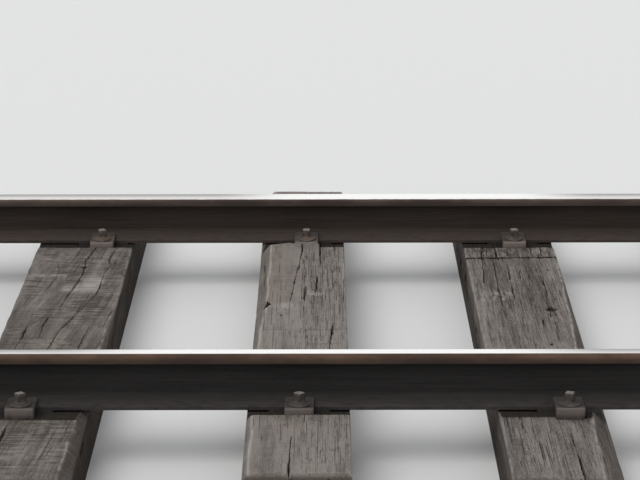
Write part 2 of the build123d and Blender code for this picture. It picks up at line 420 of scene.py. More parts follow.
# Metres from one stretch of painted dimmer reflection on the left rail's running surface to the
# next. On the right rail each metre counts this much less, and the stretches are shifted by this
# much.
STRETCH_PERIOD, RIGHT_LESS, RIGHT_SHIFT = 1.9, 0.17, 0.2
END_MARGIN = 0.0004    # metres that keep the polish off the rails' end faces
# Places outwards from the web between which a rail's inner side turns into its outer side
OUTER_SIDE = (-6, 6)


def rail_places(g):
    """Height over the foot's underside and place outwards from the web, in mm; X and Y in m."""
    x, y, z = g.split(g.place())
    cosine, sine = math.cos(CANT), math.sin(CANT)
    across = abs(y) * (1 / MM) - RAIL_OFFSET
    up = z * (1 / MM) - FOOT_LEVEL
    return up * cosine - across * sine, across * cosine + up * sine, x, y


def rail_material(settings):
    """Bright running surface with stretches of painted dimmer reflection, brown head sides darkened
    towards their bottom with painted shade, a web dark with painted shade and grime, a dusty foot,
    and painted shade on the outer side's web and foot.
    """
    material, g, shader = new_material("rail_steel", 0.2)
    height, outward, x, y = rail_places(g)
    outer = g.ramp(outward, *OUTER_SIDE)
    place = g.place()
    main = g.mix(outer, settings.head, settings.head_outer)
    rust = group_values(g, "Rust", {
        "Main": main, "Dark": g.mix(0.55, main, BLACK), "Orange": (0.15, 0.075, 0.04),
        "Patch Scale": 9.0, "Orange Share": 0.16, "Stretch": (0.35, 1, 1)})
    streaks = g.grain(place, (5, 240, 240), 4)
    ragged_edge = g.grain(place, (36, 80, 80), 4)
    level = height + (ragged_edge - 0.5) * 3.0
    # Painted shade and grime: the web is dark under the head and darker still on the outer side,
    # and the outer foot is darkened the same way.
    web = g.mix(outer, settings.web, settings.web_outer)
    web = g.scaled(web, g.spread(streaks, 0.95, 1.7))
    foot_dust = g.ramp(level, *FOOT_DUST) * g.ramp(ragged_edge, 0.1, 0.7)
    web = g.mix(foot_dust, web, g.mix(outer, settings.foot, settings.foot_outer))
    # Painted shade: the head's side darkens towards its bottom, where it takes 70 % of the web's
    # colour.
    head = g.mix(g.ramp(level, *HEAD_SIDE), g.mix(0.7, rust["Color"], web), rust["Color"])
    colour = g.mix(g.ramp(level, *HEAD_BEGINS), web, head)

    uneven = (ragged_edge - 0.5) * 1.4
    right = g.math("LESS_THAN", y, 0.0)
    between_ends = g.math("LESS_THAN", abs(x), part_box("left_rail")[1].x - END_MARGIN)
    polished = g.ramp(height + uneven, *RUNNING_SURFACE) * between_ends
    polished_to = uneven + POLISH_REACH - right * POLISH_LESS
    polished = polished * g.ramp(outward - polished_to, 1.5, -1.5)
    # Painted reflection: in stretches along each rail the running surface turns grey, most on its
    # side towards +Y.
    along = x * (1.0 - right * RIGHT_LESS) + right * RIGHT_SHIFT
    stretches = g.ramp(g.math("COSINE", along * (2 * math.pi / STRETCH_PERIOD)), 0.52, -0.35)
    to_front = outward * (right * 2.0 - 1.0)
    dim_reflection_colour = g.mix(g.ramp(to_front, -20, 32), settings.painted_dim_reflection, (0.80, 0.79, 0.78))
    colour = g.mix(polished, colour, g.mix(stretches, settings.polish, dim_reflection_colour))
    rolled = g.grain(place, (2, 900, 900))
    rough = g.add("ShaderNodeMix", {
        0: polished, 2: rust["Roughness"], 3: g.spread(rolled, 0.16, 0.30)})
    bump = (rust["Height"] - 1.1) * (1.0 - polished)
    fill(g, shader, colour, rough, bump, 0.5, 0.6 * MM)
    g.feed(shader, {"Metallic": polished})
    return material


class TRACK_OT_finish_rails(Operator):
    """Gives both rails their rust and their bright running surface"""
    bl_idname = "track.finish_rails"
    bl_label = "Rails"

    def execute(self, context):
        material = rail_material(context.scene.track_rails)
        finish_nodes(material, [f"{word}_rail" for word in RAIL_WORDS])
        return {"FINISHED"}


class TRACK_OT_finish_pads(Operator):
    """Gives the pads under the rails their worn black rubber"""
    bl_idname = "track.finish_pads"
    bl_label = "Pads"

    def execute(self, context):
        material, g, shader = new_material("seat_pad")
        dust = group_values(g, "Dust", {"Amount": 0.8, "Scale": 60.0})["Mask"]
        cloth = g.grain(g.place(), (900, 240, 900))
        colour = g.layers(
            (0.020, 0.019, 0.018),
            (dust, (0.095, 0.083, 0.070)),
            (g.ramp(cloth, 0.55, 0.4), (0.012, 0.011, 0.011)))
        fill(g, shader, colour, g.spread(cloth, 0.65, 0.85), cloth, 0.35, 0.4 * MM)
        finish_nodes(material, [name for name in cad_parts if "_pad_" in name])
        return {"FINISHED"}


# Sleepers. Across is measured from a sleeper's middle along X, and along is Y, both in millimetres.

COLUMN = 2.0           # between the lines of points across the top
STATION = 7.5          # between the rows of points along a sleeper
SIDE_ROWS = 15
BOTTOM_COLUMNS = 10
ARRIS = 4.5            # radius of the worn long edges
END_ARRIS = 4.0        # radius of the worn edges over the ends
LANE = 6.5             # between the lines along the grain in which the short checks lie
END_CHECKS = 9         # in each sawn end
WORN_TO = 660.0        # place inside the left rail's seat where the wear before it ends
PATCH_SPAN = 4000      # length and width of the field that patches are drawn for
SIDE_COARSE = 0.8      # how coarse the grain of the sides and ends looks
KERF = {"sleeper": 4, "along": 522.0, "width": 7.0, "depth": 15.0,
        "skew": math.tan(math.radians(1.7))}

# One row for each sleeper.
# slant: mm that its grain wanders across for each mm along
# relief: strength of the grain on its -X and +X sides
# checks, zone: share of places that hold a short check, and where, in widths from the middle
# tone, brown: how light and how brown it is
# rims: how strong the painted highlight along its worn -X and +X top edges is
# scuffs, then the sides' painted shade and grime: how marked it is across the grain, and how dark
# its sides are
# pith: the middle of its growth rings, across and above the underside
# splits: width and depth of each, then its (across, along) points
# holes: place across and along of each, half its size both ways, and its depth
TIMBERS = {
    1: dict(slant=0.03, relief=(0.7, 1.1), checks=0.35, zone=(-0.1, 0.5), tone=0.50, brown=0.45,
            rims=(0.4, 0.6), scuffs=0.5, side_shade_and_grime=0.7, pith=(30, -40), splits=[
        (5, 16, (-40, 1350), (-35, 1080), (-31, 890)),
        (3, 12, (12, 560), (4, 240), (9, -90), (-4, -380)),
        (6, 18, (58, -1350), (50, -1040), (53, -890)),
    ], holes=[(60, 330, 12, 16, 5)]),
    2: dict(slant=0.10, relief=(0.45, 0.5), checks=0.10, zone=(-0.5, 0.5), tone=0.47, brown=0.50,
            rims=(0.2, 0.6), scuffs=2.2, side_shade_and_grime=1.0, pith=(-20, 60), splits=[
        (5, 18, (98, 690), (93, 622), (82, 500), (95, 449), (81, 384), (77, 166), (47, 11),
         (11, -161), (-6, -332), (-24, -520)),
        (5, 16, (38, 700), (32, 622), (15, 496), (20, 343), (-14, 31)),
        (2.5, 8, (-43, -42), (-79, -138)),
        (4, 13, (-79, -138), (-96, -430)), (2.5, 9, (-40, -101), (-38, -252)),
        (4.5, 14, (134, 5), (123, -131), (104, -160)),
        (4, 14, (85, -137), (74, -319), (60, -600)),
        (3, 9, (-9, 660), (-14, 549)),
        (3.5, 12, (66, 670), (56, 500)),
        (3, 9, (-66, 490), (-51, 381), (-55, 297), (-70, 180)),
        (5, 16, (20, 1350), (28, 1080), (22, 890)),
        (6, 18, (-50, -1350), (-44, -1060), (-38, -890)),
    ], holes=[(16, 425, 8, 14, 5)]),
    3: dict(slant=0.0, relief=(0.3, 1.25), checks=0.62, zone=(-0.02, 0.5), tone=0.69, brown=0.30,
            rims=(0.9, 0.4), scuffs=0.6, side_shade_and_grime=0.6, pith=(-70, -20), splits=[
        (4.5, 15, (2, 680), (1, 622), (-4, 478), (-18, 262), (-30, 50)),
        (3, 15, (52, 690), (52, 628), (51, 384)),
        (3, 12, (35, 560), (31, 378)),
        (4, 13, (44, 293), (42, 200), (38, 110)),
        (3, 10, (10, 194), (9, 42)),
        (4.5, 18, (85, -152), (75, -359), (70, -560)),
        (3.5, 12, (96, 628), (94, 500)),
        (5, 16, (-20, -1350), (-17, -1150), (-14, -1010)),
        (5, 16, (14, 1350), (12, 1130), (8, 1010)),
    ], holes=[(-53, -82, 3, 8, 5), (-92, 28, 8, 14, 6), (-9, 378, 4, 9, 6), (-21, 225, 4, 8, 6),
              (-26, 116, 3, 7, 5)]),
    4: dict(slant=0.0, relief=(1.1, 1.0), checks=0.60, zone=(-0.5, 0.5), tone=0.50, brown=0.25,
            rims=(0.5, 0.9), scuffs=0.2, side_shade_and_grime=0.45, pith=(-40, 40), splits=[
        (6, 18, (-54, 515), (-59, 312), (-60, 61), (-56, -35)),
        (5.5, 16, (-15, 470), (-22, 258), (-24, 75)),
        (3, 12, (46, 420), (46, 310)),
        (4, 12, (73, 335), (71, 176), (69, 105)),
        (3, 11, (12, 394), (9, 293)),
        (3, 12, (40, -66), (33, -150)),
        (3.5, 10, (61, 44), (66, 10), (63, -62)), (3, 9, (75, 6), (76, -48)),
        (4, 13, (-82, 640), (-90, 424), (-97, 230)), (4, 12, (34, 380), (42, 250)),
        (4, 12, (-40, 640), (-44, 527)),
        (3.5, 12, (-67, 640), (-70, 530)), (4, 12, (-6, 640), (-9, 529)),
        (3.5, 12, (25, 640), (23, 531)),
        (4, 12, (64, 640), (61, 534)), (3.5, 12, (93, 640), (92, 541)),
        (6, 20, (30, -1350), (25, -1100), (22, -960)),
        (5, 16, (-12, 1350), (-8, 1120), (-4, 1000)),
    ], holes=[(69, 16, 12, 20, 4), (42, -290, 4, 10, 5), (62, 395, 4, 9, 4), (95, 398, 4, 12, 4)]),
    5: dict(slant=-0.04, relief=(0.9, 0.5), checks=0.40, zone=(-0.5, 0.1), tone=0.50, brown=0.60,
            rims=(0.6, 0.4), scuffs=0.5, side_shade_and_grime=0.8, pith=(50, 50), splits=[
        (5, 16, (-30, 600), (-14, 330), (-18, 60), (2, -240)),
        (6, 18, (40, -1350), (37, -1150), (34, -1010)),
        (5, 15, (-34, 1350), (-32, 1160), (-30, 1060)),
    ]),
    6: dict(slant=0.02, relief=(0.8, 1.0), checks=0.50, zone=(-0.5, 0.5), tone=0.58, brown=0.40,
            rims=(0.5, 0.6), scuffs=0.3, side_shade_and_grime=0.6, pith=(-30, 20), splits=[
        (5, 14, (26, 420), (30, 180), (20, -60)),
        (4.5, 13, (-52, -200), (-56, -400), (-58, -560)),
        (6, 18, (-10, -1350), (-7, -1150), (-4, -1030)),
        (5, 16, (48, 1350), (46, 1150), (44, 1020)),
    ], holes=[(-20, -120, 11, 17, 5)]),
}


def smooth(value):
    """0 below 0 and 1 above 1, with a soft step between them."""
    value = np.clip(value, 0, 1)
    return value * value * (3 - 2 * value)


def step(value, start, over):
    """0 up to start and 1 from start + over on; a negative over steps up the other way."""
    return smooth((value - start) / over)


def oval(u, v, across, along, half_u, half_v, reach):
    """1 in the middle of an oval and 0 outside its reach, which is counted in half sizes."""
    return smooth(reach - np.hypot((u - across) / half_u, (v - along) / half_v))


def lower_of(first, second, soft):
    """The lower of two heights, with their meeting edge rounded."""
    blend = np.maximum(soft - np.abs(first - second), 0) / soft
    return np.minimum(first, second) - blend * blend * soft / 4


def rounded(to_edge, radius):
    """How far a rounded edge falls away at a distance from the edge."""
    inside = np.clip(radius - to_edge, 0, radius)
    return radius - np.sqrt(np.maximum(radius ** 2 - inside ** 2, 0))


class Sleeper:
    """A sleeper's row of TIMBERS, its measures in the frame in mm and its own random numbers."""

    def __init__(self, number, seed):
        low, high = (np.array(corner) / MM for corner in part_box(f"sleeper_{number}"))
        self.number, self.timber = number, TIMBERS[number]
        self.rng = np.random.default_rng(seed * 100 + number)
        self.width, self.top = high[0] - low[0], high[2]
        self.x_middle, self.middle = (low[0] + high[0]) / 2, (low[1] + high[1]) / 2
        self.half_length = (high[1] - low[1]) / 2
        self.sawn = number == KERF["sleeper"]

    def from_end(self, rows):
        return self.half_length - np.abs(rows - self.middle)

    def patches(self, across, along, size_across, size_along):
        """Smooth random values from -1 to 1, in patches of that size."""
        u = (across + PATCH_SPAN / 2) / size_across
        v = (along + PATCH_SPAN / 2) / size_along
        cells = tuple(int(PATCH_SPAN / size) + 3 for size in (size_across, size_along))
        grid = self.rng.uniform(-1, 1, cells)
        i, j = u.astype(int), v.astype(int)
        s, t = smooth(u - i), smooth(v - j)
        near = grid[i, j] * (1 - s) + grid[i + 1, j] * s
        far = grid[i, j + 1] * (1 - s) + grid[i + 1, j + 1] * s
        return near * (1 - t) + far * t

    def ripple(self, places, size, beside=0):
        """Smooth random values from -1 to 1 along a line of places."""
        return self.patches(places, places * 0 + beside, size, 50)


def cut(rng, lines, rows, depth, dark, crack, open_ends):
    """Opens a crack in a face by moving the nearest line of points onto it in each row.

    lines holds the place of each point across its row, and rows the place of each row. A crack that
    starts or ends further out than open_ends keeps its width there."""
    width, deepest, *points = crack
    path_u, path_v = np.array(sorted(points, key=lambda point: point[1]), float).T
    start, end = path_v[0], path_v[-1]
    knots, stretches = (
        np.linspace(start, end, max(3, int((end - start) / spacing))) for spacing in (22, 55))
    wander = rng.uniform(-1, 1, len(knots)) * min(1.3, 0.28 * width)
    opening = rng.uniform(0.3, 1.2, len(stretches))
    for i in np.nonzero((rows >= start) & (rows <= end))[0]:
        v = rows[i]
        u = np.interp(v, path_v, path_u) + np.interp(v, knots, wander)
        share = (v - start) / (end - start)
        from_start = 1.0 if start < -open_ends else 6 * share
        from_end = 1.0 if end > open_ends else 6 * (1 - share)
        fade = max(0.0, min(1.0, from_start, from_end)) ** 0.6 * np.interp(v, stretches, opening)
        line = lines[i]
        gap = np.abs(line - u)
        j = int(np.argmin(gap))
        if j < 2 or j > len(line) - 3:
            continue
        half = max(0.5, width / 2 * fade)
        deep = deepest * fade
        inside = gap < half
        walls = deep * (1 - gap[inside] / half) ** 0.7
        depth[i, inside] = np.maximum(depth[i, inside], walls)
        sign = 1 if line[-1] > line[0] else -1
        line[j] = u
        depth[i, j] = max(depth[i, j], deep)
        # dark: painted shade in the crack, strongest where it is open widest
        dark[i, j] = max(dark[i, j], min(1.0, 0.3 + fade))
        for way in (-1, 1):
            if abs(line[j + way] - u) > half and dark[i, j + way] == 0:
                line[j + way] = u + sign * way * half


def short_checks(sleeper, depth):
    """Drying checks in lanes along the grain, most of them in the sleeper's zone of checks."""
    rng, timber, end = sleeper.rng, sleeper.timber, sleeper.half_length
    half, slant = sleeper.width / 2, timber["slant"]
    found = []
    reach = half + abs(slant) * end
    for lane in np.arange(-reach, reach, LANE):
        v = -end + rng.uniform(10, 120)
        while v < end - 60:
            long = rng.uniform(45, 120) + (rng.random() < 0.3) * rng.uniform(60, 180)
            u = lane + slant * v + rng.uniform(-2, 2)
            inside = timber["zone"][0] < u / sleeper.width < timber["zone"][1]
            share = timber["checks"] * (1.0 if inside else 0.2)
            if abs(u) < half - 7 and v + long < end - 10 and rng.random() < share:
                last = (u + (slant + rng.normal(0, 0.006)) * long, v + long)
                found.append((rng.uniform(0.8, 2.0), depth * rng.uniform(0.3, 1.0), (u, v), last))
            v += long + rng.uniform(10, 90)
    return found


def seat_level(along):
    """Height of the adzed, canted seat at a place along a sleeper."""
    beyond = np.abs(along) - RAIL_OFFSET - PAD_THICKNESS * math.sin(CANT)
    return FOOT_LEVEL - PAD_THICKNESS * math.cos(CANT) + beyond * math.tan(CANT)


def wall_places():
    """The places along a sleeper where the walls of its seats stand."""
    reach = SEAT_REACH * math.cos(CANT)
    return [side * (RAIL_OFFSET + way * reach) for side in (-1, 1) for way in (-1, 1)]


def row_places(sleeper):
    """Places of the rows along a sleeper, with a close pair at each wall and round the saw cut."""
    half_length, middle = sleeper.half_length, sleeper.middle
    rows = middle + np.linspace(-half_length, half_length, int(2 * half_length / STATION))
    marks = [(place, 0.5) for place in wall_places()]
    if sleeper.sawn:
        marks += [(KERF["along"] + side * KERF["width"] / 2, 0.25) for side in (-1, 1)]
    for place, _ in marks:
        rows = rows[np.abs(rows - place) > 2.2]
    extra = [place + side * gap for place, gap in marks for side in (-1, 1)]
    ends = [middle + side * (half_length - gap) for side in (-1, 1) for gap in (0.7, 2.0, 4.2)]
    return np.array(sorted([*rows, *extra, *ends]))


def bend(sleeper, across, rows):
    """How far each point moves along the sleeper, for ragged seat walls and an askew saw cut."""
    moved = np.zeros((len(rows), len(across)))
    for place in wall_places():
        weight = smooth(1 - np.abs(rows - place) / 45)[:, None]
        ragged = sleeper.ripple(across, 14) * 1.3 + sleeper.ripple(across, 4) * 0.5
        if sleeper.number == 3 and 0 < place < RAIL_OFFSET:
            ragged = ragged + 7 * step(across, -33, -5) - 28 * np.clip((-36 - across) / 70, 0, 1)
        moved += weight * ragged
    if sleeper.sawn:
        beyond = rows - KERF["along"]
        moved += smooth(1 - np.abs(beyond) / 60)[:, None] * across * KERF["skew"]
        for way in (-1, 1):
            near = (way * beyond > 0) * smooth(1 - np.abs(beyond) / 30)
            moved += near[:, None] * sleeper.ripple(across, 11, way * 500) * 1.1
    return moved


def top_heights(sleeper, relief, lines, rows, moved, cracks):
    """Height of every point on the top of a sleeper, and the marks that its material reads."""
    width, top, timber = sleeper.width, sleeper.top, sleeper.timber
    third = sleeper.number == 3
    along = rows[:, None] + moved
    side, near, far = WANES[sleeper.number]
    share = (rows - sleeper.middle + sleeper.half_length) / (2 * sleeper.half_length)
    wane = near + (far - near) * share + sleeper.ripple(rows, 90) * 2.5
    if third:
        wane = wane - 10 * step(rows, 20, -300) + 9 * step(rows, 44, -6) * step(rows, -10, 6)
    beyond = side * lines - (width / 2 - wane)[:, None]
    height = top + sleeper.patches(lines, along, 70, 160) * 0.7 - 0.7
    height = lower_of(height, top - WANE_STEEPNESS * beyond, 6.0)
    arris = ARRIS * (1 + 0.5 * sleeper.patches(np.sign(lines) * 400, along, 50, 60))
    from_edge = width / 2 - np.abs(lines)
    waned = (wane > 4)[:, None]
    to_rim = np.minimum(np.where((side * lines > 0) & waned, -beyond, from_edge), 99)
    # Painted highlight along the worn top edges, strongest a little in from the edge; how worn each
    # stretch is sets its strength.
    worn = 0.7 + 0.75 * sleeper.patches(np.sign(lines) * 300, along, 50, 22)
    if third:
        worn = 0.5 + 0.6 * worn
    rim = np.exp(-((to_rim - 2.5) / 3.0) ** 2) * smooth(worn)
    height -= rounded(from_edge, arris)
    height -= rounded(sleeper.from_end(rows)[:, None], END_ARRIS)
    if third:
        height -= 12 * step(lines, 48, 4) * step(along, 384, 240) * step(along, WORN_TO, -5)
        height -= 1.6 * step(along, 31, -7) * step(lines, -8, -5) * step(along, -60, 80)
    seats = np.abs(np.abs(rows) - RAIL_OFFSET) < SEAT_REACH * math.cos(CANT)
    level = seat_level(along)
    cut_down = seats[:, None] & (level < height)
    height = np.where(cut_down, level, height)
    grain = lines - timber["slant"] * along
    wide, narrow = sleeper.patches(grain, along, 6.5, 170), sleeper.patches(grain, along, 3.6, 80)
    ridges = 0.6 * wide + 0.4 * narrow
    strength = np.interp(lines / width, (-0.5, -0.05, 0.1, 0.5), np.repeat(timber["relief"], 2))
    strength *= np.where(cut_down, 0.35, 1.0)
    if sleeper.sawn:
        strength *= 1 + step(along, KERF["along"], 4) * step(along, WORN_TO, -5)
    if third:
        strength += 0.35 * step(along, 31, -12) * step(lines, 0, -20)
    strength *= 1 + 0.5 * sleeper.patches(lines, along, 60, 240)
    height -= relief * strength * (0.5 - 0.5 * ridges)
    marks = {
        "ridge": 0.5 + 0.5 * ridges * np.clip(strength, 0, 1),
        "seat": cut_down.astype(float),
        "rim": rim * np.where(lines < 0, *timber["rims"]) * (1 - cut_down),
        "wane": step(beyond, 0, 5) * waned * (0.6 if third else 1.0),
        "coarse": np.clip(strength, 0, 1.6),
    }
    return height - cracks, marks


def side_face(sleeper, rows, edge):
    """One side from its top edge down: level and depth of its points, cracks and raised grain."""
    rng, end = sleeper.rng, sleeper.half_length
    fall = np.linspace(0, 1, SIDE_ROWS + 1)
    levels = edge[:, None] * (1 - fall)
    depth, dark = np.zeros_like(levels), np.zeros_like(levels)
    for _ in range(int(sleeper.timber["checks"] * 70) + 8):
        long = rng.uniform(60, 320)
        v = rng.uniform(-end + 20, end - long - 20)
        z = rng.uniform(16, sleeper.top - 34)
        size = rng.uniform(1, 3.5), rng.uniform(2, 6)
        crack = (*size, (z, v), (z + rng.uniform(-6, 6), v + long))
        cut(rng, levels, rows, depth, dark, crack, end + 50)
    rough = 0.5 - 0.5 * sleeper.patches(levels, rows[:, None], 9, 140)
    depth += 1.1 * rough + 1.6 * (0.5 - 0.5 * sleeper.patches(levels, rows[:, None], 60, 260))
    taper = step(fall, 0, 0.12) * step(fall, 1, -0.05)
    taper = taper * step(sleeper.from_end(rows), 0, 16)[:, None]
    return levels, depth * taper, dark * (taper > 0.3), 1 - rough


def end_face(sleeper, sign, start, dark):
    """One sawn end below its top edge: the places of its points, and their marks."""
    rng, width, top = sleeper.rng, sleeper.width, sleeper.top
    fall = np.arange(1, SIDE_ROWS)[:, None] / SIDE_ROWS
    u = np.repeat(start[None, :, 0], SIDE_ROWS - 1, axis=0)
    depth = dark * 9 * (1 - fall) ** 2
    end_dark = (depth > 1.5) * np.clip(depth / 6, 0, 1)
    for _ in range(END_CHECKS):
        lean = rng.uniform(-0.4, 0.4)
        z = rng.uniform(0.0, 0.6) * top
        reach = rng.uniform(0.25, 0.8) * top
        base = rng.uniform(-0.42, 0.42) * width
        size = rng.uniform(1.5, 4), rng.uniform(4, 14)
        crack = (*size, (base, -z - reach), (base + lean * reach, -z))
        cut(rng, u, -fall[:, 0] * top, depth, end_dark, crack, 1e6)
    z = start[:, 2] * (1 - fall)
    saw = sleeper.patches(u, z, 12, 3.0) * 0.35 + sleeper.patches(u, z, 40, 30) * 0.5
    edge = smooth(np.minimum(width / 2 - np.abs(u), np.minimum(z, top - z)) / 8)
    y = start[:, 1] - sign * (depth + 0.4 - saw * 0.8) * edge
    marks = {"crack": end_dark, "ridge": 0.5 + saw, "low": u * 0 + fall * 0.6, "end": u * 0 + 1,
             "coarse": u * 0 + SIDE_COARSE}
    return np.stack([u, y, z], axis=-1), marks


def sleeper_mesh(number, settings):
    """One sleeper as a closed mesh, with the marks of its wear as attributes."""
    sleeper = Sleeper(number, settings.seed)
    rows = row_places(sleeper)
    across = np.linspace(-sleeper.width / 2, sleeper.width / 2, int(sleeper.width / COLUMN))
    moved = bend(sleeper, across, rows)
    lines = np.repeat(across[None, :], len(rows), axis=0)
    cracks, dark = np.zeros_like(lines), np.zeros_like(lines)
    for crack in sleeper.timber["splits"] + short_checks(sleeper, settings.check_depth / MM):
        cut(sleeper.rng, lines, rows, cracks, dark, crack, sleeper.half_length)
    if sleeper.sawn:
        to_middle = np.abs(rows - KERF["along"])
        sawn, rims, near = (to_middle < KERF["width"] / 2 + beyond for beyond in (0, 0.4, 8))
        # Painted shade in the saw cut and along its rims
        dark[near] = np.maximum(dark[near], 0.72 + 0.4 * sleeper.ripple(across, 7))
        cracks[sawn] = np.maximum(cracks[sawn], KERF["depth"])
        dark[rims] = np.maximum(dark[rims], 0.85 + 0.25 * sleeper.ripple(across, 9))
        dark[sawn] = 1.0
    for hole_u, hole_v, half_u, half_v, deep in sleeper.timber.get("holes", ()):
        v = rows[:, None]
        gap = np.abs((lines - hole_u) / half_u) ** 1.3 + np.abs((v - hole_v) / half_v) ** 1.3
        hole = smooth(1.6 - gap ** 0.77 + 0.5 * sleeper.patches(lines, v, 4, 9))
        cracks = np.maximum(cracks, deep * hole)
        # Painted shade in the holes
        dark = np.maximum(dark, np.minimum(1.8 * hole, 1.0))
    height, marks = top_heights(sleeper, settings.relief / MM, lines, rows, moved, cracks)
    sides = [side_face(sleeper, rows, height[:, column]) for column in (0, -1)]
    top = np.stack([lines, rows[:, None] + moved, height], axis=-1)
    points, triangles, marks = assemble(sleeper, top, dark, marks, sides)
    marks = timber_marks(sleeper, points, marks)
    points[:, 0] += sleeper.x_middle
    return plain_mesh(f"sleeper_{number}_timber", points * MM, triangles, marks)


def squares(low, high):
    """Faces between rows of points and the rows beside them."""
    corners = [low[..., :-1], low[..., 1:], high[..., 1:], high[..., :-1]]
    return np.stack(corners, axis=-1).reshape(-1, 4)


def assemble(sleeper, upper, dark, marks, sides):
    """Joins the top, sides, underside and ends: their points, triangles and marks."""
    row_count, count, _ = upper.shape
    ring = count + 2 * SIDE_ROWS + BOTTOM_COLUMNS - 1
    place = np.zeros((row_count, ring, 3))
    shown = {name: np.zeros((row_count, ring)) for name in ("crack", "low", "end", *marks)}
    place[:, :count] = upper
    for name, values in {**marks, "crack": dark}.items():
        shown[name][:, :count] = values
    along = upper[..., 1]
    right = count - 1 + np.arange(SIDE_ROWS + 1)
    left = np.concatenate(([0], ring - np.arange(1, SIDE_ROWS + 1)))
    for sign, indices, side in zip((-1, 1), (left[1:], right[1:]), sides):
        levels, depth, side_dark, ridge = (values[:, 1:] for values in side)
        place[:, indices, 0] = sign * (sleeper.width / 2 - depth)
        place[:, indices, 1] = along[:, [0 if sign < 0 else -1]]
        place[:, indices, 2] = levels
        low = 1 - levels / sleeper.top
        side_shown = {"crack": side_dark, "ridge": ridge, "low": low, "coarse": SIDE_COARSE}
        for name, values in side_shown.items():
            shown[name][:, indices] = values
    under = np.arange(right[-1], left[-1] + 1)
    share = np.linspace(1, -1, len(under))
    place[:, under, 0] = share * sleeper.width / 2
    place[:, under, 1] = along[:, [-1]] * (1 + share) / 2 + along[:, [0]] * (1 - share) / 2
    place[:, under, 2] = 0
    shown["low"][:, under] = 1

    index = np.arange(row_count * ring).reshape(row_count, ring)
    around = np.roll(index, -1, axis=1)
    quads = [np.stack([index[:-1], around[:-1], around[1:], index[1:]], axis=-1).reshape(-1, 4)]
    points, strips = [place.reshape(-1, 3)], []
    shown = {name: [values.ravel()] for name, values in shown.items()}
    used = row_count * ring
    for row, sign in ((0, -1), (row_count - 1, 1)):
        end, end_shown = end_face(sleeper, sign, place[row, :count], dark[row])
        points.append(end[:, 1:-1].reshape(-1, 3))
        nothing = np.zeros(end.shape[:2])
        for name, values in shown.items():
            values.append(end_shown.get(name, nothing)[:, 1:-1].ravel())
        grid = np.zeros((SIDE_ROWS, count), int)
        grid[0] = index[row, :count]
        grid[1:, 0], grid[1:, -1] = index[row, left[1:-1]], index[row, right[1:-1]]
        inner = grid[1:, 1:-1]
        inner[:] = used + np.arange(inner.size).reshape(inner.shape)
        used += inner.size
        face, strip = squares(grid[:-1], grid[1:]), zip_rows(grid[-1], index[row, under[::-1]])
        quads.append(face[:, ::sign])
        strips.append(strip[:, ::sign])
    points, quads = np.concatenate(points), np.concatenate(quads)
    shown = {name: np.concatenate(values) for name, values in shown.items()}
    deep = shown["crack"] + 1e-4 * (sleeper.top - points[:, 2])
    a, b, c, d = quads.T
    first = (deep[a] + deep[c] > deep[b] + deep[d])[:, None]
    one = np.where(first, quads[:, [0, 1, 2]], quads[:, [0, 1, 3]])
    two = np.where(first, quads[:, [0, 2, 3]], quads[:, [1, 2, 3]])
    return points, np.concatenate([one, two, *strips]), shown


def zip_rows(upper, lower):
    """Triangles between two rows that have different numbers of points."""
    found = []
    i = j = 0
    last_i, last_j = len(upper) - 1, len(lower) - 1
    while i < last_i or j < last_j:
        if j == last_j or (i < last_i and (i + 1) * last_j <= (j + 1) * last_i):
            found.append((upper[i], upper[i + 1], lower[j]))
            i += 1
        else:
            found.append((upper[i], lower[j + 1], lower[j]))
            j += 1
    return np.array(found)


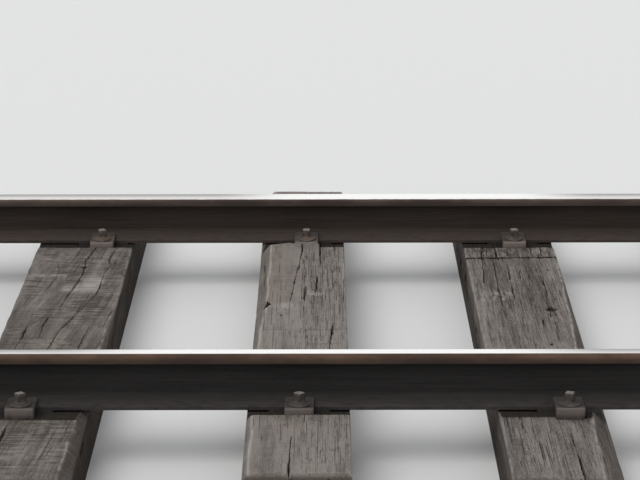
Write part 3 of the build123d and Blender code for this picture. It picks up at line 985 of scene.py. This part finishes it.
def timber_marks(sleeper, points, marks):
    """Adds what the wood's material reads: tone, browning, stains and distance from the pith."""
    number, timber, patches = sleeper.number, sleeper.timber, sleeper.patches
    u, v, z = points.T
    grain = u - timber["slant"] * v
    tone = timber["tone"] + 0.16 * patches(grain, v, 28, 420) + 0.10 * patches(grain, v, 9, 150)
    tone += 0.10 * patches(u, v, 90, 130) + 0.09 * patches(u, v, 11, 34)
    brown = timber["brown"] + 0.25 * patches(grain, v, 50, 380)
    scuffs = timber["scuffs"] * smooth(0.6 + 0.6 * patches(u, v, 70, 90))
    stain = np.zeros_like(u)
    for word, side in (("left", 1), ("right", -1)):
        low, high = (np.array(corner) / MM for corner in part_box(f"{word}_pad_{number}"))
        seat = (low[0] + high[0]) / 2 - sleeper.x_middle
        reach = 1.7 + 0.25 * patches(u, v, 14, 24)
        stain = np.maximum(stain, oval(u, v, seat, side * RAIL_OFFSET, 58, 132, reach))
    bright = np.zeros_like(u)
    # The photo's sleepers have marks of their own: pale spots and streaks, brown or dark parts
    if number == 3:
        left = step(u, -8, -10) * step(v, 28, 8)
        tone += 0.03 * (v < -100) - 0.03 * left
        brown += 0.30 * left
        for across, along, half_u, half_v in ((-45, 5, 28, 26), (31, 117, 32, 24)):
            spot = oval(u, v, across, along, half_u, half_v, 1.3)
            tone += 0.35 * spot
            bright = np.maximum(bright, 0.6 * spot * smooth(0.5 + patches(u, v, 8, 8)))
        for place, first, last in ((-211, -95, 60), (-211, 78, 110), (-330, 15, 110)):
            tone -= 0.3 * np.clip(1 - np.abs(v - place) / 8, 0, 1) * (u > first) * (u < last)
    if number == 2:
        flecked = smooth(1.5 - np.abs(v - 337) / 14) * step(u, -20, -8)
        tone += np.interp(v, (100, 250), (-0.04, 0.01))
        tone += 0.5 * flecked * smooth(0.5 + patches(u, v, 16, 7))
        bright = 0.6 * flecked * smooth(0.2 + patches(u, v, 12, 6))
        streak = smooth(1.4 - np.abs(u - 55 - 0.05 * (v - 240)) / 30)
        streak *= smooth(1.6 - np.abs(v - 240) / 60)
        streak = np.maximum(streak, 0.8 * oval(u, v, 8, 214, 36, 45, 1.4))
        tone += 0.45 * streak
        bright = np.maximum(bright, 0.8 * streak * smooth(0.55 + 0.8 * patches(u, v, 50, 6)))
        brown -= 0.3 * streak
    if sleeper.sawn:
        behind = step(v, KERF["along"] + 4, 6)
        tone += np.interp(v, (50, 220), (0.02, -0.05)) - 0.16 * behind
        flecked = 1.4 * smooth(1.5 - np.abs(v - 135) / 50) * step(u, -15, -12)
        flecked = np.maximum(flecked, behind)
        tone += 0.45 * flecked * (smooth(0.3 + patches(grain, v, 6, 26)) - 0.25)
        bright = 0.45 * np.minimum(flecked, 1) * smooth(patches(grain, v, 6, 12))
        tone += 0.35 * oval(u + 0.1 * v, v, 82, -45, 5, 55, 1.3)
    pith_u, pith_z = timber["pith"]
    return {
        **marks,
        "rim": np.maximum(marks["rim"], bright * (marks["seat"] < 0.5) * (marks["low"] < 0.01)),
        "tone": np.clip(tone, 0, 1),
        "brown": np.clip(brown, 0, 1),
        "scuffs": scuffs,
        "side_shade_and_grime": timber["side_shade_and_grime"] * (1 + 0.25 * patches(v, z, 120, 40)),
        "stain": stain,
        "pith": np.hypot(u - pith_u, z - pith_z) * MM,
        "wood": np.stack([grain + 400 * number, v, z], axis=-1) * MM,
    }


def plain_mesh(name, points, triangles, marks):
    """A smooth-shaded mesh from triangles, with an attribute for each mark."""
    mesh = bpy.data.meshes.new(name)
    mesh.vertices.add(len(points))
    mesh.vertices.foreach_set("co", points.astype(np.float32).ravel())
    mesh.loops.add(3 * len(triangles))
    mesh.loops.foreach_set("vertex_index", triangles.astype(np.int32).ravel())
    mesh.polygons.add(len(triangles))
    mesh.polygons.foreach_set("loop_start", np.arange(0, 3 * len(triangles), 3, dtype=np.int32))
    mesh.update(calc_edges=True)
    for label, values in marks.items():
        kind, field = ("FLOAT_VECTOR", "vector") if values.ndim == 2 else ("FLOAT", "value")
        layer = mesh.attributes.new(label, kind, "POINT")
        layer.data.foreach_set(field, values.astype(np.float32).ravel())
    mesh.shade_smooth()
    mesh.set_sharp_from_angle(angle=SHARP_WOOD)
    return mesh


# Metres from one growth ring to the next
RING_WIDTH = 0.0045


def wood_material(settings):
    """Weathered timber: light fibres, brown soft grain, checks darkened with painted shade, painted
    shadow on the seats, painted shade with soil down the sides, a painted highlight on the top
    edges, rust stains, rings on ends.
    """
    material, g, shader = new_material("sleeper_wood", 0.1)
    wood = g.attribute("wood", "Vector")
    crack, ridge, low, end, rim, coarse, tone, brown, stain, seat, wane, scuffed, side_shade_and_grime, pith = (
        g.attribute(name) for name in (
            "crack", "ridge", "low", "end", "rim", "coarse", "tone", "brown", "stain", "seat",
            "wane", "scuffs", "side_shade_and_grime", "pith"))
    contrast = coarse * 0.8 + 0.3
    fibres = g.grain(wood, (420, 10, 420), 6, 0.6)
    flecks = g.grain(wood, (270, 85, 270), 4, 0.6)
    hairs = g.grain(wood, (1100, 28, 1100), 3, 0.6)
    bands = g.grain(wood, (90, 2.4, 90), 4, 0.6)
    veins = g.grain(wood, (110, 4.0, 110), 2, 0.5)
    clouds = g.grain(wood, (26, 12, 26), 5, 0.6)
    scuffs = g.grain(wood, (16, 95, 16), 4, 0.65)
    rings = g.math("SINE", (pith + clouds * 0.012) * (2 * math.pi / RING_WIDTH))
    rings = g.math("MULTIPLY_ADD", rings, 0.5)
    lift = (fibres * 0.9 + bands * 0.7 + flecks * 1.5 - 1.55) * contrast
    lift = lift + (ridge * 0.4 + 1.15) + (tone - 0.5) * 1.3 + scuffed * 1.3 * (scuffs - 0.5)
    light = g.ramp(lift, 0.75, 1.95)
    grey = g.mix(light, settings.dark, settings.light)
    warm = g.mix(light, (0.065, 0.051, 0.043), (0.215, 0.180, 0.156))
    vein = g.ramp(abs(veins - 0.5), 0.030, 0.008)
    vein = vein * (g.ramp(flecks, 0.40, 0.56) * g.ramp(coarse, 0.15, 0.7))
    hair = g.math("MULTIPLY", g.ramp(hairs, 0.42, 0.30), contrast * 0.5, clamp=True)
    ringed = g.mix(g.ramp(rings, 0.2, 0.9), (0.055, 0.043, 0.034), (0.150, 0.124, 0.100))
    # Painted shade with soil: the sides darken below the top edge and towards the bottom, and the
    # underside is dark.
    soil = g.ramp(low + clouds * 0.5, 0.28, 0.85)
    soil = g.math("MAXIMUM", soil, g.ramp(low, 0.0, 0.07) * side_shade_and_grime)
    colour = g.layers(
        grey,
        (brown * 0.8, warm),
        # Painted highlight along the top edges, with the pale spots and streaks
        (g.math("MULTIPLY", rim, 0.85, clamp=True), (0.410, 0.380, 0.350)),
        (wane * 0.4, (0.085, 0.071, 0.060)),
        (vein * 0.6, (0.036, 0.029, 0.024)),
        (hair, (0.034, 0.027, 0.022)),
        (g.ramp(clouds, 0.5, 0.7) * 0.2, (0.066, 0.058, 0.050)),
        (stain * g.ramp(clouds, 0.3, 0.6) * 0.6, (0.050, 0.038, 0.030)),
        # Painted shadow of the rail foot and clip plates on the adzed seats
        (seat * 0.95, (0.021, 0.017, 0.014)),
        (end * 0.75, ringed),
        # Painted shade with soil down the sides and on the underside
        (g.math("MULTIPLY", soil, 0.85, clamp=True), (0.026, 0.020, 0.016)),
        # Painted shade in the checks, holes and saw cut
        (g.ramp(crack, 0.35, 1.0), (0.016, 0.012, 0.009)))
    bump = fibres * 1.2 + hairs * 0.6 - vein * 0.8
    fill(g, shader, colour, g.spread(fibres, 0.82, 0.95), bump, 0.7, 0.9 * MM)
    return material


class TRACK_OT_make_sleepers(Operator):
    """Builds the six weathered sleepers with their splits, checks, waney edges and adzed seats"""
    bl_idname = "track.make_sleepers"
    bl_label = "Sleepers"

    def execute(self, context):
        settings = context.scene.track_timber
        material = wood_material(settings)
        for number in SLEEPER_NUMBERS:
            mesh = sleeper_mesh(number, settings)
            mesh.materials.append(material)
            add_piece(f"timber_{number}", mesh, [f"sleeper_{number}"])
        return {"FINISHED"}


# Fastenings

# The screw's outline from its tip up. Each row: shares of the shank's radius, the collar's radius,
# half of the head's width, the length below the collar, the collar's height and the head's height;
# then wear, which on the collar's rim rows is a painted highlight.
SCREW_ROWS = (
    (0, 0, 0, -1, 0, 0, 0), (0.4, 0, 0, -1, 0, 0, 0), (1, 0, 0, -0.89, 0, 0, 0),
    (1, 0, 0, -0.02, 0, 0, 0), (1, 0.08, 0, 0, 0, 0, 0), (0, 0.96, 0, 0, 0, 0, 0),
    (0, 1, 0, 0, 0.08, 0, 0), (0, 1, 0, 0, 0.26, 0, 0.12), (0, 0.975, 0, 0, 0.34, 0, 0.12),
    (0, 0.89, 0, 0, 0.38, 0, 0), (0, 0.77, 0, 0, 0.44, 0, 0), (0, 0.65, 0, 0, 0.52, 0, 0),
    (0, 0.56, 0, 0, 0.63, 0, 0), (0, 0.495, 0, 0, 0.78, 0, 0), (0, 0.24, 0.5, 0, 0.92, 0, 0),
    (0, 0, 1, 0, 1, 0.04, 0), (0, 0, 0.935, 0, 1, 0.5, 0), (0, 0, 0.885, 0, 1, 0.88, 0.2),
    (0, 0, 0.855, 0, 1, 0.955, 0.8), (0, 0, 0.76, 0, 1, 0.99, 1), (0, 0, 0.42, 0, 1, 1, 1),
    (0, 0, 0, 0, 1, 1, 1),
)
# How far the head's worn corners reach, in halves of its width
HEAD_CORNER = 1.33
MERGE_DISTANCE = 0.02 * MM
ROUGH_SCALE = 160.0    # of the noise that roughens clips and screws
# Screw heads driven on from their place in the order: sleeper, rail and side, then degrees
TURNED_ON = {(3, "right", 1): -31.0}


def profile_curve(g, share, values):
    """A Float Curve that runs straight through evenly spaced values."""
    node = g.node("ShaderNodeFloatCurve", {"Value": share})
    curve = node.mapping.curves[0]
    node.mapping.use_clip = False
    node.mapping.extend = "HORIZONTAL"
    last = len(values) - 1
    curve.points[0].location = (0, values[0])
    curve.points[-1].location = (1, values[-1])
    for i in range(1, last):
        curve.points.new(i / last, values[i])
    for point in curve.points:
        point.handle_type = "VECTOR"
    node.mapping.update()
    return Value(g, node.outputs[0])


def screw_tree():
    """Turns the screw's outline into a round collar under a square head, one at each seat point."""
    g, given = new_tree("Screws", "GeometryNodeTree", [
        ("Seats", GEOMETRY, None), ("Head Width", FLOAT, 0.0228), ("Head Height", FLOAT, 0.017),
        ("Collar Width", FLOAT, 0.053), ("Collar Height", FLOAT, 0.014),
        ("Shank Width", FLOAT, 0.022), ("Length", FLOAT, 0.115), ("Turn", FLOAT, 0.224),
        ("Around", INTEGER, 48), ("Roughness", FLOAT, 0.0004), ("Material", MATERIAL, None),
    ], [("Geometry", GEOMETRY)])
    grid = g.add("GeometryNodeMeshGrid", {
        "Size X": 1.0, "Size Y": 1.0, "Vertices X": given["Around"] + 1.0,
        "Vertices Y": len(SCREW_ROWS)})
    x, y, _ = g.split(g.add("GeometryNodeInputPosition"))
    share, angle = y + 0.5, (x + 0.5) * (2 * math.pi)
    shank, collar, head, below, rise, top, wear = (
        profile_curve(g, share, values) for values in zip(*SCREW_ROWS))
    cosine, sine = g.math("COSINE", angle), g.math("SINE", angle)
    widest = g.math("MAXIMUM", abs(cosine), abs(sine))
    square = g.math("MINIMUM", g.math("DIVIDE", 1.0, widest), HEAD_CORNER)
    radius = shank * (given["Shank Width"] * 0.5) + collar * (given["Collar Width"] * 0.5)
    radius = radius + head * (given["Head Width"] * 0.5 * square)
    height = below * given["Length"] + rise * given["Collar Height"] + top * given["Head Height"]
    place = g.add("ShaderNodeCombineXYZ", {"X": radius * cosine, "Y": radius * sine, "Z": height})
    marked = g.add("GeometryNodeStoreNamedAttribute", {
        "Geometry": grid, "Name": "wear", "Value": wear}, data_type="FLOAT", domain="POINT")
    turned = g.add("GeometryNodeSetPosition", {"Geometry": marked, "Position": place})
    closed = g.add("GeometryNodeMergeByDistance", {"Geometry": turned, "Distance": MERGE_DISTANCE})
    spin = g.named("order") * given["Turn"] + g.named("turned_on")
    return place_at_seats(g, given, closed, g.add("ShaderNodeCombineXYZ", {"Z": spin}))


def place_at_seats(g, given, shape, spin):
    """Puts a shape at each seat point, roughens each in its own way and gives it its material."""
    lean, turn = (g.add("FunctionNodeEulerToRotation", {0: angles})
                  for angles in (g.named("lean", "FLOAT_VECTOR"), spin))
    turned = g.add("FunctionNodeRotateRotation", {
        "Rotation": lean, "Rotate By": turn}, rotation_space="LOCAL")
    instances = g.add("GeometryNodeInstanceOnPoints", {
        "Points": given["Seats"], "Instance": shape, "Rotation": turned})
    real = g.add("GeometryNodeRealizeInstances", {"Geometry": instances})
    noise = g.noise(g.add("GeometryNodeInputPosition"), ROUGH_SCALE, rough=0.5)
    offset = g.add("ShaderNodeVectorMath", {
        0: g.add("GeometryNodeInputNormal"), "Scale": (noise - 0.5) * given["Roughness"],
    }, operation="SCALE")
    rough = g.add("GeometryNodeSetPosition", {"Geometry": real, "Offset": offset})
    finished = g.add("GeometryNodeSetMaterial", {"Geometry": rough, "Material": given["Material"]})
    g.node("NodeGroupOutput", {0: finished})
    return g.tree


def clip_tree():
    """Puts a clip plate at each seat point."""
    g, given = new_tree("Clip Plates", "GeometryNodeTree", [
        ("Seats", GEOMETRY, None), ("Pattern", "NodeSocketObject", None),
        ("Roughness", FLOAT, 0.0006), ("Material", MATERIAL, None),
    ], [("Geometry", GEOMETRY)])
    pattern = g.add("GeometryNodeObjectInfo", {"Object": given["Pattern"]}, "Geometry")
    return place_at_seats(g, given, pattern, (0, 0, 0))


def seat_points(height, outwards):
    """A mesh of one point at each fastening, with how it leans and how far its screw is turned."""
    mesh = bpy.data.meshes.new("seats")
    matrices, orders, turned_on = [], [], []
    move = Matrix.Translation((0, outwards * MM, height * MM))
    for number in SLEEPER_NUMBERS:
        for word in RAIL_WORDS:
            for outward in (0, 1):
                matrices.append(seat_matrix(word, number, outward) @ move)
                order = (4 * number + 2 * (word == "left") + outward) ** 2
                orders.append(order if word == "left" else -order)
                turned_on.append(math.radians(TURNED_ON.get((number, word, outward), 0.0)))
    mesh.from_pydata([matrix.translation for matrix in matrices], [], [])
    leans = [angle for matrix in matrices for angle in matrix.to_euler()]
    mesh.attributes.new("lean", "FLOAT_VECTOR", "POINT").data.foreach_set("vector", leans)
    mesh.attributes.new("order", "FLOAT", "POINT").data.foreach_set("value", orders)
    mesh.attributes.new("turned_on", "FLOAT", "POINT").data.foreach_set("value", turned_on)
    return mesh


def grown(tree, points, values):
    """Runs a Geometry Nodes tree on the seat points and returns the plain mesh that it makes."""
    holder = placed("holder", points)
    modifier = holder.modifiers.new("nodes", "NODES")
    modifier.node_group = tree
    for item in tree.interface.items_tree:
        if item.in_out == "INPUT" and item.name in values:
            modifier[item.identifier] = values[item.name]
    evaluated = holder.evaluated_get(bpy.context.evaluated_depsgraph_get())
    mesh = bpy.data.meshes.new_from_object(evaluated)
    holder.modifiers.clear()
    bpy.data.objects.remove(holder)
    mesh.shade_smooth()
    mesh.set_sharp_from_angle(angle=SHARP_STEEL)
    return mesh


# Places of the clip plate's first points from each of its edges, and its sizes, in mm
EDGE_PLACES = (0.0, 0.7, 1.6, 3.0, 5.0, 7.5)
CLIP_CORNER = 8.0
CLOSE_REACH = 15.0     # of the closer points round the hole
HOLE_RADIUS = 13.0
HOLE_BLOCK = 10.0      # half of the square of points that are moved onto the hole's edge
HEEL_DEPTH = 17.0
HEEL_WALL = 1.2        # run of the heel's steep inner wall
HEEL_BELOW_PAD = 3.5
NOSE_THICKNESS = 8.0
FOOT_EDGE = 9.0        # height of the rail foot's top at its edge
FOOT_SLOPE = 1 / 4


def grid_places(low, high, *parts):
    """Places from low to high: close near both, and evenly spaced up to the end of each part."""
    found = [low + place for place in EDGE_PLACES]
    for end, spacing in parts:
        start = found[-1]
        found += list(np.linspace(start, end, max(1, round((end - start) / spacing)) + 1))[1:]
    return found + [high - place for place in reversed(EDGE_PLACES[:-1])]


def clip_pattern(width):
    """The outer clip plate of a rail, in mm: arched, with a hole, a nose on the foot and a heel."""
    half, near, edge = width / 2, CLOSE_REACH, EDGE_PLACES[-1]
    heel, under_heel = CLIP_FRONT - HEEL_DEPTH, -PAD_THICKNESS - HEEL_BELOW_PAD
    xs = grid_places(-half, half, (-near, 4), (near, 5), (half - edge, 4))
    ys = grid_places(CLIP_TIP, CLIP_FRONT, (heel - 2 * near, 4), (heel, 5),
                     (heel + HEEL_WALL, HEEL_WALL), (CLIP_FRONT - edge, 3))
    tip_foot = FOOT_EDGE + FOOT_SLOPE * (FOOT_HALF - CLIP_TIP)
    top_line = ((CLIP_TIP, tip_foot + NOSE_THICKNESS), (FOOT_HALF - 4, CLIP_TOP - 0.6),
                (FOOT_HALF + 4, CLIP_TOP), (CLIP_FRONT, CLIP_TOP))
    low_line = ((CLIP_TIP, tip_foot), (FOOT_HALF, FOOT_EDGE), (heel, FOOT_EDGE),
                (heel + HEEL_WALL, under_heel), (CLIP_FRONT, under_heel))

    def spot(i, j, upper):
        x, y = xs[i], ys[j]
        to_edge = min(half - abs(x), y - CLIP_TIP, CLIP_FRONT - y)
        z = np.interp(y, *zip(*(top_line if upper else low_line)))
        if upper:
            z -= rounded(to_edge, 2.0) + rounded(CLIP_FRONT - y, 6.0)
        else:
            z += rounded(to_edge, 1.0)
        cx, cy_high, cy_low = half - CLIP_CORNER, CLIP_FRONT - CLIP_CORNER, CLIP_TIP + CLIP_CORNER
        dx = max(0.0, abs(x) - cx)
        dy = max(0.0, y - cy_high) - max(0.0, cy_low - y)
        if dx > 0 and dy != 0:
            shrink = max(dx, abs(dy)) / math.hypot(dx, dy)
            x = math.copysign(cx + dx * shrink, x)
            y = (cy_high if dy > 0 else cy_low) + dy * shrink
        if max(abs(xs[i]), abs(ys[j] - SCREW_LINE)) < HOLE_BLOCK + 0.01:
            angle = math.atan2(ys[j] - SCREW_LINE, xs[i])
            x, y = HOLE_RADIUS * math.cos(angle), SCREW_LINE + HOLE_RADIUS * math.sin(angle)
        return x, y, z

    points, index = [], {}

    def point(i, j, upper):
        if (i, j, upper) not in index:
            index[i, j, upper] = len(points)
            points.append(spot(i, j, upper))
        return index[i, j, upper]

    faces = []
    middles_x, middles_y = (
        [(one + two) / 2 for one, two in zip(places, places[1:])] for places in (xs, ys))
    filled = {(i, j) for i, x in enumerate(middles_x) for j, y in enumerate(middles_y)
              if max(abs(x), abs(y - SCREW_LINE)) > HOLE_BLOCK}
    for i, j in sorted(filled):
        square = ((i, j), (i + 1, j), (i + 1, j + 1), (i, j + 1))
        faces.append([point(*c, True) for c in square])
        faces.append([point(*c, False) for c in reversed(square)])
        for k, (di, dj) in enumerate(((0, -1), (1, 0), (0, 1), (-1, 0))):
            if (i + di, j + dj) not in filled:
                a, b = square[k], square[(k + 1) % 4]
                faces.append([point(*a, False), point(*b, False), point(*b, True), point(*a, True)])
    mesh = bpy.data.meshes.new("clip_pattern")
    mesh.from_pydata([(x * MM, y * MM, z * MM) for x, y, z in points], [], faces)
    mesh.update()
    return mesh


def steel_material(name, rust, outer_rust_and_shade, worn_heads_and_rim_highlight):
    """Rusty forged steel, dusty on top, darker with grime and painted shade on the rails' outer
    sides, with painted shade on the clip's nose under the rail head, and pale worn heads with a
    painted highlight on the collar rims.
    """
    material, g, shader = new_material(name)
    height, outward, *_ = rail_places(g)
    outer = g.ramp(outward, *OUTER_SIDE)
    # Painted shade together with grime: on the outer sides the steel is darker, less dusty and its
    # front less pale.
    main = g.mix(outer, rust, outer_rust_and_shade)
    browns = group_values(g, "Rust", {
        "Main": main, "Dark": g.mix(0.68, main, BLACK), "Orange": (0.15, 0.078, 0.045),
        "Patch Scale": 26.0, "Orange Share": 0.28})
    dust = group_values(g, "Dust", {"Amount": 0.35, "Scale": 55.0})["Mask"]
    beyond = abs(outward)
    front = g.ramp(beyond, CLIP_FRONT - 9, CLIP_FRONT - 2) * g.ramp(height, -4, 12)
    # Painted shade under the rail head: the clip's nose is darkened where it reaches over the foot.
    nose = g.ramp(beyond, FOOT_HALF + 4, FOOT_HALF - 4) * g.ramp(height, 38, 32)
    colour = g.layers(
        browns["Color"],
        (dust * (1.0 - outer * 0.8), (0.125, 0.105, 0.090)),
        (front * (0.85 - outer * 0.35), (0.175, 0.143, 0.126)),
        (nose * 0.8, (0.036, 0.030, 0.026)))
    if worn_heads_and_rim_highlight:
        # Pale worn head tops, and a painted highlight on the collar's rim
        worn = g.attribute("wear") * g.ramp(g.noise(g.place(), 220.0), 0.3, 0.5)
        colour = g.mix(worn * 0.95, colour, (0.205, 0.192, 0.174))
    fill(g, shader, colour, browns["Roughness"], browns["Height"], 0.6, 0.5 * MM)
    return material


def fastening_nodes(word):
    return [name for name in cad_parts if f"_{word}_" in name]


class TRACK_OT_make_clips(Operator):
    """Builds the clip plates that hold the rail feet"""
    bl_idname = "track.make_clips"
    bl_label = "Clip plates"

    def execute(self, context):
        settings = context.scene.track_fastenings
        pattern = placed("clip_pattern", clip_pattern(settings.clip_width / MM))
        material = steel_material("clip_steel", settings.clip_rust, settings.outer_rust_and_shade, False)
        mesh = grown(clip_tree(), seat_points(0, 0), {
            "Pattern": pattern, "Roughness": 0.0007, "Material": material})
        bpy.data.objects.remove(pattern)
        add_piece("clip_plates", mesh, fastening_nodes("clips"))
        return {"FINISHED"}


class TRACK_OT_make_screws(Operator):
    """Builds the square-headed screws on their flared collars"""
    bl_idname = "track.make_screws"
    bl_label = "Screws"

    def execute(self, context):
        settings = context.scene.track_fastenings
        material = steel_material("screw_steel", settings.screw_rust, settings.outer_rust_and_shade, True)
        mesh = grown(screw_tree(), seat_points(CLIP_TOP, SCREW_LINE), {
            "Head Width": settings.head_width, "Head Height": settings.head_height,
            "Collar Width": settings.collar_width, "Collar Height": settings.collar_height,
            "Length": SCREW_LENGTH * MM, "Turn": settings.turn, "Material": material})
        add_piece("screws", mesh, fastening_nodes("screws"))
        return {"FINISHED"}


# Stage

FLOOR_HALF = 60        # metres
AMBIENT_COLOUR, AMBIENT_STRENGTH = (0.97, 0.985, 1.0), 0.62
SUN_STRENGTH, SUN_SIZE = 1.35, math.radians(40)
SUN_TILT = (math.radians(28), math.radians(-24), 0)
# Place in metres and roll of the camera that was fitted to the photo
CAMERA_PLACE, CAMERA_ROLL = (-0.255, -6.191, 2.071), 0.0013
SENSOR_WIDTH = 36.0


def white_background(graph, lit, strength):
    """Plain light for the object, and a white background for the camera and for reflections."""
    rays = graph.values(graph.node("ShaderNodeLightPath"))
    seen = graph.math("MAXIMUM", rays["Is Glossy Ray"], rays["Is Transmission Ray"])
    seen = graph.math("MAXIMUM", rays["Is Camera Ray"], seen)
    ambient = graph.add("ShaderNodeBackground", {"Color": lit, "Strength": strength})
    white = graph.add("ShaderNodeBackground", {"Color": WHITE, "Strength": 1.0})
    mixed = graph.add("ShaderNodeMixShader", {0: seen, 1: ambient, 2: white})
    graph.node("ShaderNodeOutputWorld", {"Surface": mixed})


class TRACK_OT_set_stage(Operator):
    """Sets the pale floor, the soft light and the camera"""
    bl_idname = "track.set_stage"
    bl_label = "Stage"

    def execute(self, context):
        scene, settings = context.scene, context.scene.track_stage
        scene.view_settings.view_transform = "Standard"
        world = bpy.data.worlds.new("studio")
        world.use_nodes = True
        world.node_tree.nodes.clear()
        white_background(Graph(world.node_tree), AMBIENT_COLOUR, AMBIENT_STRENGTH)
        scene.world = world
        material, g, shader = new_material("stage_floor")
        g.feed(shader, {"Base Color": settings.floor, "Roughness": 0.85})
        mesh = bpy.data.meshes.new("stage_floor")
        far = FLOOR_HALF
        corners = [(-far, -far, 0), (far, -far, 0), (far, far, 0), (-far, far, 0)]
        mesh.from_pydata(corners, [], [(0, 1, 2, 3)])
        mesh.materials.append(material)
        floor = placed("stage_floor", mesh)
        lamp = bpy.data.lights.new("soft_sun", "SUN")
        lamp.energy, lamp.angle = SUN_STRENGTH, SUN_SIZE
        placed("soft_sun", lamp).rotation_euler = SUN_TILT
        lens = bpy.data.cameras.new("camera")
        lens.lens, lens.sensor_width, lens.sensor_fit = settings.focal, SENSOR_WIDTH, "HORIZONTAL"
        lens.clip_start, lens.clip_end = 0.1, 200
        camera = placed("camera", lens)
        camera.location = CAMERA_PLACE
        camera.rotation_euler = (math.pi / 2 - settings.pitch, CAMERA_ROLL, 0)
        scene.camera = camera
        return {"FINISHED"}


class TRACK_PT_panel(Panel):
    """Sizes and colours of the track, and its building steps in order"""
    bl_idname = "TRACK_PT_panel"
    bl_label = "Railway Track Panel"
    bl_space_type = "VIEW_3D"
    bl_region_type = "UI"
    bl_category = "Track"

    def draw(self, context):
        for name, kind in SETTINGS.items():
            box = self.layout.box()
            box.label(text=kind.__doc__)
            for label in kind.__annotations__:
                box.prop(getattr(context.scene, name), label)
        for operator in STEPS:
            self.layout.operator(operator.bl_idname)


SETTINGS = {
    "track_rails": RailSettings, "track_timber": TimberSettings,
    "track_fastenings": FasteningSettings, "track_stage": StageSettings,
}
STEPS = (
    TRACK_OT_set_stage, TRACK_OT_finish_rails, TRACK_OT_finish_pads, TRACK_OT_make_sleepers,
    TRACK_OT_make_clips, TRACK_OT_make_screws,
)
CLASSES = (*SETTINGS.values(), *STEPS, TRACK_PT_panel)


def register():
    for kind in CLASSES:
        bpy.utils.register_class(kind)
    for name, kind in SETTINGS.items():
        setattr(bpy.types.Scene, name, PointerProperty(type=kind))


def unregister():
    for name in SETTINGS:
        delattr(bpy.types.Scene, name)
    for kind in reversed(CLASSES):
        bpy.utils.unregister_class(kind)


def main():
    register()
    bpy.ops.track.set_stage()
    bpy.ops.track.finish_rails()
    bpy.ops.track.finish_pads()
    bpy.ops.track.make_sleepers()
    bpy.ops.track.make_clips()
    bpy.ops.track.make_screws()
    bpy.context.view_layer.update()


if __name__ == "__main__":
    main()
